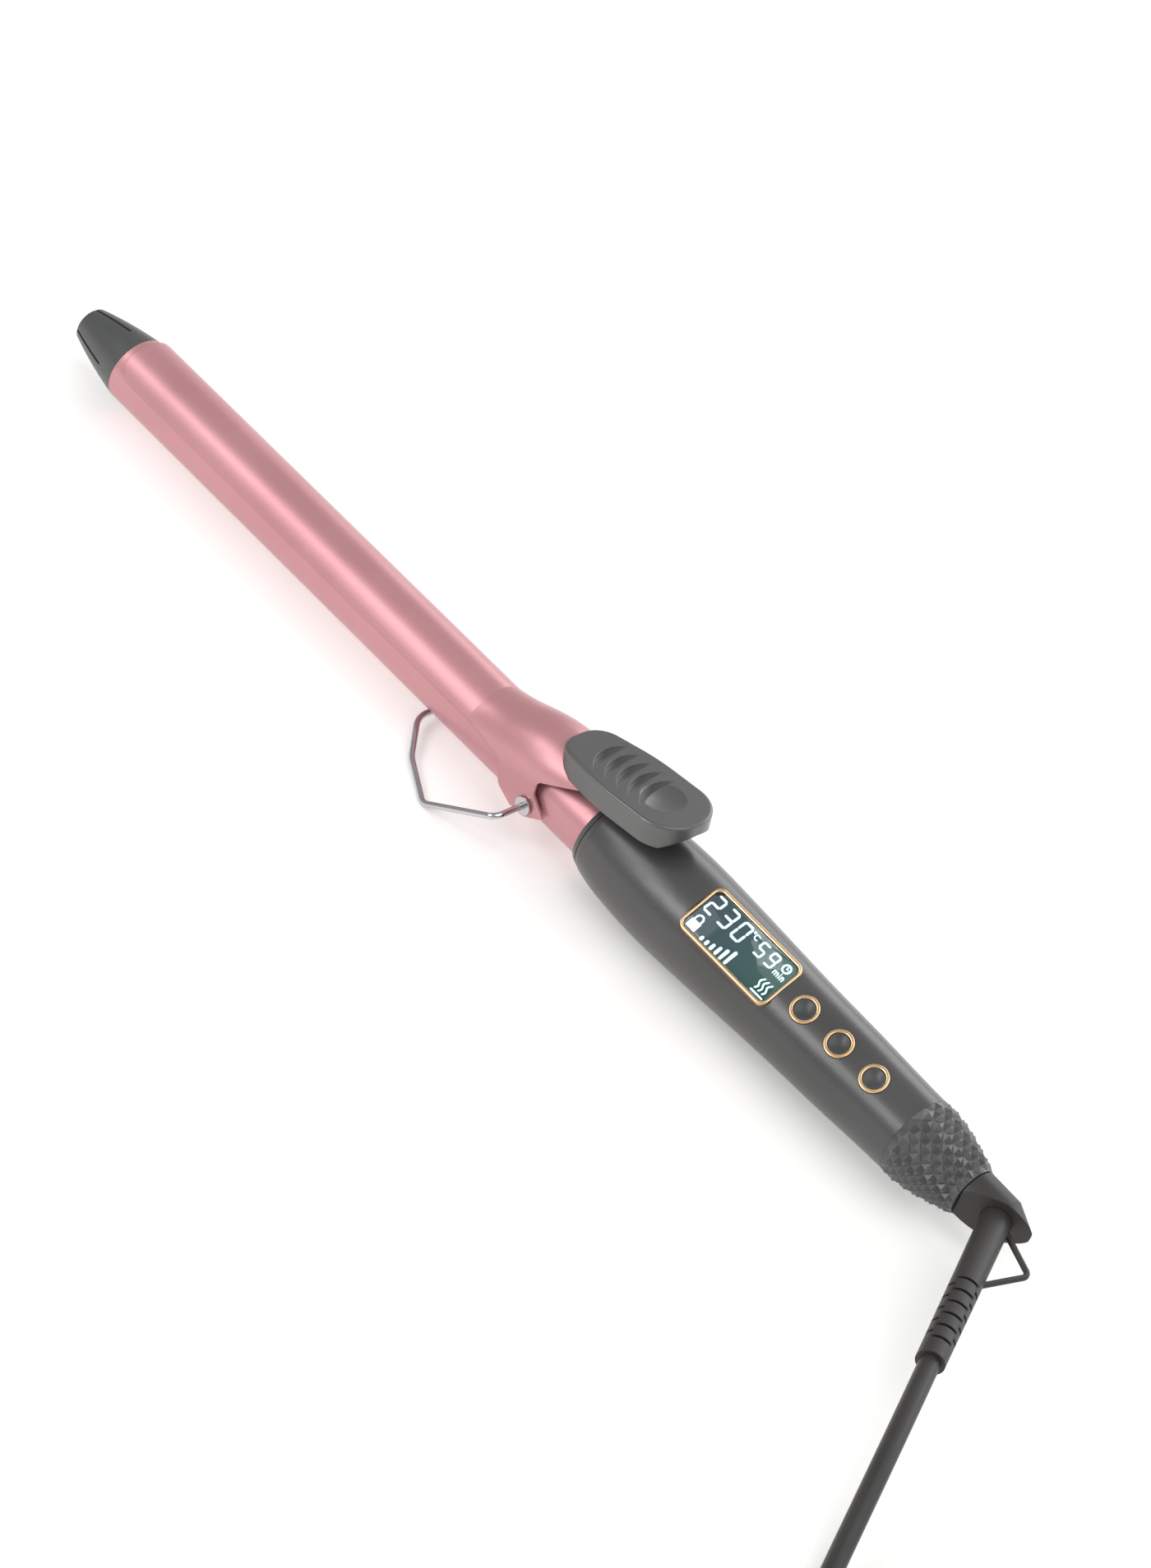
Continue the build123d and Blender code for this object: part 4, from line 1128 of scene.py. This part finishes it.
@dataclass
class PowerCord:
    """Mains lead from the boot to the plug, with the spare length in a tied coil.

    Attributes:
        origin_mm: Head of the boot, where the route is measured from.
        heading_deg: Turn of the boot from the iron's axis.
        radius_mm: Radius of the lead.
        run_mm: Points of the run as distance along the boot and height.
        coil_at_mm: Distance of the coil's middle line along the boot.
        ends_mm: Straight length at each end of the coil.
        start_mm: Radius of the widest half turn.
        pitch_mm: Distance between turns.
        half_turns: Half turns from the widest to the narrowest.
        lead_mm: Points of the plug's lead as distance from the coil and height.
        steps: Points in each half turn.
        knot_share: Share of a point in the spline's place at the middle of its span.
        flats: Steps in a quarter of the lead's round section.
        smooth: Steps from point to point.
        length_m: Real length of the lead. Not used.
    """

    origin_mm: Point3 = (200.5, 0.0, 16.0)
    heading_deg: float = 64.0
    radius_mm: float = 3.0
    run_mm: tuple[Point2, ...] = ((62.0, 16.0), (94.0, 16.0), (139.0, 3.7), (184.0, 3.7))
    coil_at_mm: float = 190.0
    ends_mm: float = 6.0
    start_mm: float = 45.5
    pitch_mm: float = 6.6
    half_turns: int = 7
    lead_mm: tuple[Point2, ...] = ((0.0, 10.3), (16.0, 10.3), (34.0, 7.3), (50.0, 7.3))
    steps: int = 8
    knot_share: float = 0.75
    flats: int = 5
    smooth: int = 4
    length_m: float = 1.82

    def spot(self, along: float, across: float, high: float) -> Vector:
        """Point on the route.

        Args:
            along: Distance along the boot's heading.
            across: Distance to the side.
            high: Height over the floor.

        Returns:
            The point in the row frame, in metres.
        """
        turn = math.radians(self.heading_deg)
        x = self.origin_mm[0] + along * math.cos(turn) + across * math.sin(turn)
        y = self.origin_mm[1] - along * math.sin(turn) + across * math.cos(turn)
        return Vector((x, y, high)) * MM

    def route(self) -> list[Vector]:
        """Control points from the boot to the plug.

        Returns:
            The points in order.
        """
        points = [self.spot(along, 0.0, high) for along, high in self.run_mm]
        radii = [self.start_mm - self.pitch_mm / 2 * k for k in range(self.half_turns + 1)]
        radii += radii[-2::-1]
        out = 1.0 / (self.knot_share + (1.0 - self.knot_share) * math.cos(math.pi / self.steps))
        across, high = 0.0, self.run_mm[-1][1]
        for k, radius in enumerate(radii):
            way = 1.0 if k % 2 == 0 else -1.0
            climb = self.pitch_mm if k == self.half_turns else 0.0
            middle = across + way * radius
            for step in range(self.steps):
                turn = math.pi * (step + 0.5) / self.steps
                along = self.coil_at_mm + way * radius * out * math.sin(turn)
                side = middle - way * radius * out * math.cos(turn)
                points.append(self.spot(along, side, high + climb * (1.0 - math.cos(turn)) / 2))
            across += way * 2.0 * radius
            high += climb
        leaves = self.coil_at_mm - self.ends_mm
        points += [self.spot(leaves - gone, across, tall) for gone, tall in self.lead_mm]
        return points

    def build(self) -> list[bpy.types.Object]:
        """Build the lead as one smooth round curve.

        Returns:
            The lead.
        """
        points = self.route()
        curve = bpy.data.curves.new("power_lead", "CURVE")
        curve.dimensions = "3D"
        curve.bevel_depth = self.radius_mm * MM
        curve.bevel_resolution = self.flats
        curve.use_fill_caps = True
        curve.resolution_u = self.smooth
        spline = curve.splines.new("NURBS")
        spline.points.add(len(points) - 1)
        for control, point in zip(spline.points, points):
            control.co = (*point, 1.0)
        spline.order_u = 3
        spline.use_endpoint_u = True
        lead = bpy.data.objects.new("power_lead", curve)
        bpy.context.scene.collection.objects.link(lead)
        dress(lead, BLACK_CORD)
        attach(lead, Body.SWIVEL.value)
        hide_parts("power_cord", "cord_coil", "plug_lead")
        return [lead]


@dataclass
class ClipSpring:
    """Leaf spring between the barrel and the lever, which flattens as the lever is pressed.

    Attributes:
        foot_mm: Height of the spring's foot, which stays where it is. Not used.
        keep: Share of its height that is left when the lever is down. Not used.
    """

    foot_mm: float = 27.0
    keep: float = 0.68

    def build(self) -> list[bpy.types.Object]:
        """Copy the spring's solid as a welded piece with a mesh of its own.

        Returns:
            The spring.
        """
        deselect()
        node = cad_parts["clip_spring"]
        spring = bpy.data.objects.new("leaf_spring", node.data.copy())
        bpy.context.scene.collection.objects.link(spring)
        spring.select_set(True)
        bpy.context.view_layer.objects.active = spring
        bpy.ops.object.mode_set(mode="EDIT")
        bpy.ops.mesh.select_all(action="SELECT")
        bpy.ops.mesh.remove_doubles(threshold=WELD)
        deselect()
        dress(spring, BRUSHED_STEEL)
        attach(spring, Body.IRON.value)
        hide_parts("clip_spring")
        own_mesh(spring)
        return [spring]


@dataclass
class Solids:
    """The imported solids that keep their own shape.

    Attributes:
        finishes: Finish of each solid.
    """

    finishes: dict[str, Surface]

    def build(self) -> list[bpy.types.Object]:
        """Dress each solid.

        Returns:
            The dressed solids.
        """
        for name, finish in self.finishes.items():
            dress(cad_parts[name], finish)
        return [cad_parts[name] for name in self.finishes]


@dataclass(frozen=True)
class Lamp:
    """A soft lamp, in metres and watts.

    Attributes:
        name: Name of the lamp.
        place: Where it hangs.
        target: Point that it is turned to.
        size: Its two sides.
        watts: Its power.
    """

    name: str
    place: Point3
    target: Point3
    size: Point2
    watts: float

    def hang(self) -> None:
        """Hang the lamp and turn it to its target."""
        data = bpy.data.lights.new(self.name, "AREA")
        data.shape = "RECTANGLE"
        data.size, data.size_y = self.size
        data.energy = self.watts
        lamp = bpy.data.objects.new(self.name, data)
        lamp.location = self.place
        aim = Vector(self.target) - Vector(self.place)
        lamp.rotation_euler = aim.to_track_quat("-Z", "Y").to_euler()
        bpy.context.scene.collection.objects.link(lamp)


LAMPS = (
    Lamp("barrel_strip", (-0.62, -0.57, 0.76), (-0.12, 0.0, 0.02), (0.5, 0.34), 2.1),
    Lamp("handle_strip", (-0.24, -0.8, 0.55), (0.1, 0.0, 0.02), (0.3, 0.36), 2.6),
    Lamp("overhead", (1.1, 0.0, 2.6), (0.0, 0.0, 0.02), (3.0, 3.0), 40.0),
    Lamp("back_rim", (0.1, 1.7, 0.75), (0.0, 0.0, 0.02), (2.4, 0.9), 18.0),
)


@dataclass
class Studio:
    """Camera, floor and soft lights.

    Attributes:
        look_at_m: Point of the iron near the middle of the picture.
        shift_mm: Shift of the camera to the right and up.
        right: Way to the right of the picture.
        up: Way to the top of the picture.
        back: Way from the iron to the camera.
        distance_m: Distance of the camera.
        lens_mm: Focal length.
        sensor_mm: Width of the sensor.
        world: Brightness of the light from all round.
        floor_m: Side of the floor.
    """

    look_at_m: Point3 = (0.0152, 0.0, 0.0137)
    shift_mm: Point2 = (5.25, 2.15)
    right: Point3 = (0.6458, 0.7090, 0.2828)
    up: Point3 = (-0.6355, 0.2943, 0.7137)
    back: Point3 = (0.423, -0.641, 0.641)
    distance_m: float = 1.34
    lens_mm: float = 106.0
    sensor_mm: float = 36.0
    world: float = 0.44
    floor_m: float = 8.0

    def build_camera(self) -> None:
        """Put the camera at the photograph's viewing angle."""
        data = bpy.data.cameras.new("camera")
        data.lens = self.lens_mm
        data.sensor_width = self.sensor_mm
        camera = bpy.data.objects.new("camera", data)
        right, up, back = (Vector(v).normalized() for v in (self.right, self.up, self.back))
        place = Vector(self.look_at_m) + (right * self.shift_mm[0] + up * self.shift_mm[1]) * MM
        place += back * self.distance_m
        turn = Matrix((right, up, back)).transposed().to_4x4()
        camera.matrix_world = Matrix.Translation(place) @ turn
        bpy.context.scene.collection.objects.link(camera)
        bpy.context.scene.camera = camera

    def build_floor(self) -> None:
        """Lay the pale floor."""
        deselect()
        bpy.ops.mesh.primitive_plane_add(size=self.floor_m)
        floor = bpy.context.object
        floor.name = "floor"
        dress(floor, PALE_FLOOR)

    def build_lights(self) -> None:
        """Hang the soft lamps and set the light from all round."""
        world = bpy.data.worlds.new("studio")
        world.use_nodes = True
        sky = world.node_tree.nodes["Background"]
        sky.inputs["Color"].default_value = (1.0, 1.0, 1.0, 1.0)
        sky.inputs["Strength"].default_value = self.world
        bpy.context.scene.world = world
        for lamp in LAMPS:
            lamp.hang()

    def build(self) -> None:
        """Build the studio."""
        bpy.context.scene.view_settings.view_transform = "Standard"
        self.build_camera()
        self.build_floor()
        self.build_lights()


def main() -> None:
    """Build the iron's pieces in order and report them."""
    logging.basicConfig(level=logging.INFO, format="%(name)s: %(message)s")
    Studio().build()
    panel = Panel()
    assemblies = [PowerCord(), Solids(NODE_FINISHES), Display(panel), Keys(panel), ClipSpring()]
    for assembly in assemblies:
        for piece in assembly.build():
            LOG.info("%s: %s", type(assembly).__name__, piece.name)


if __name__ == "__main__":
    main()
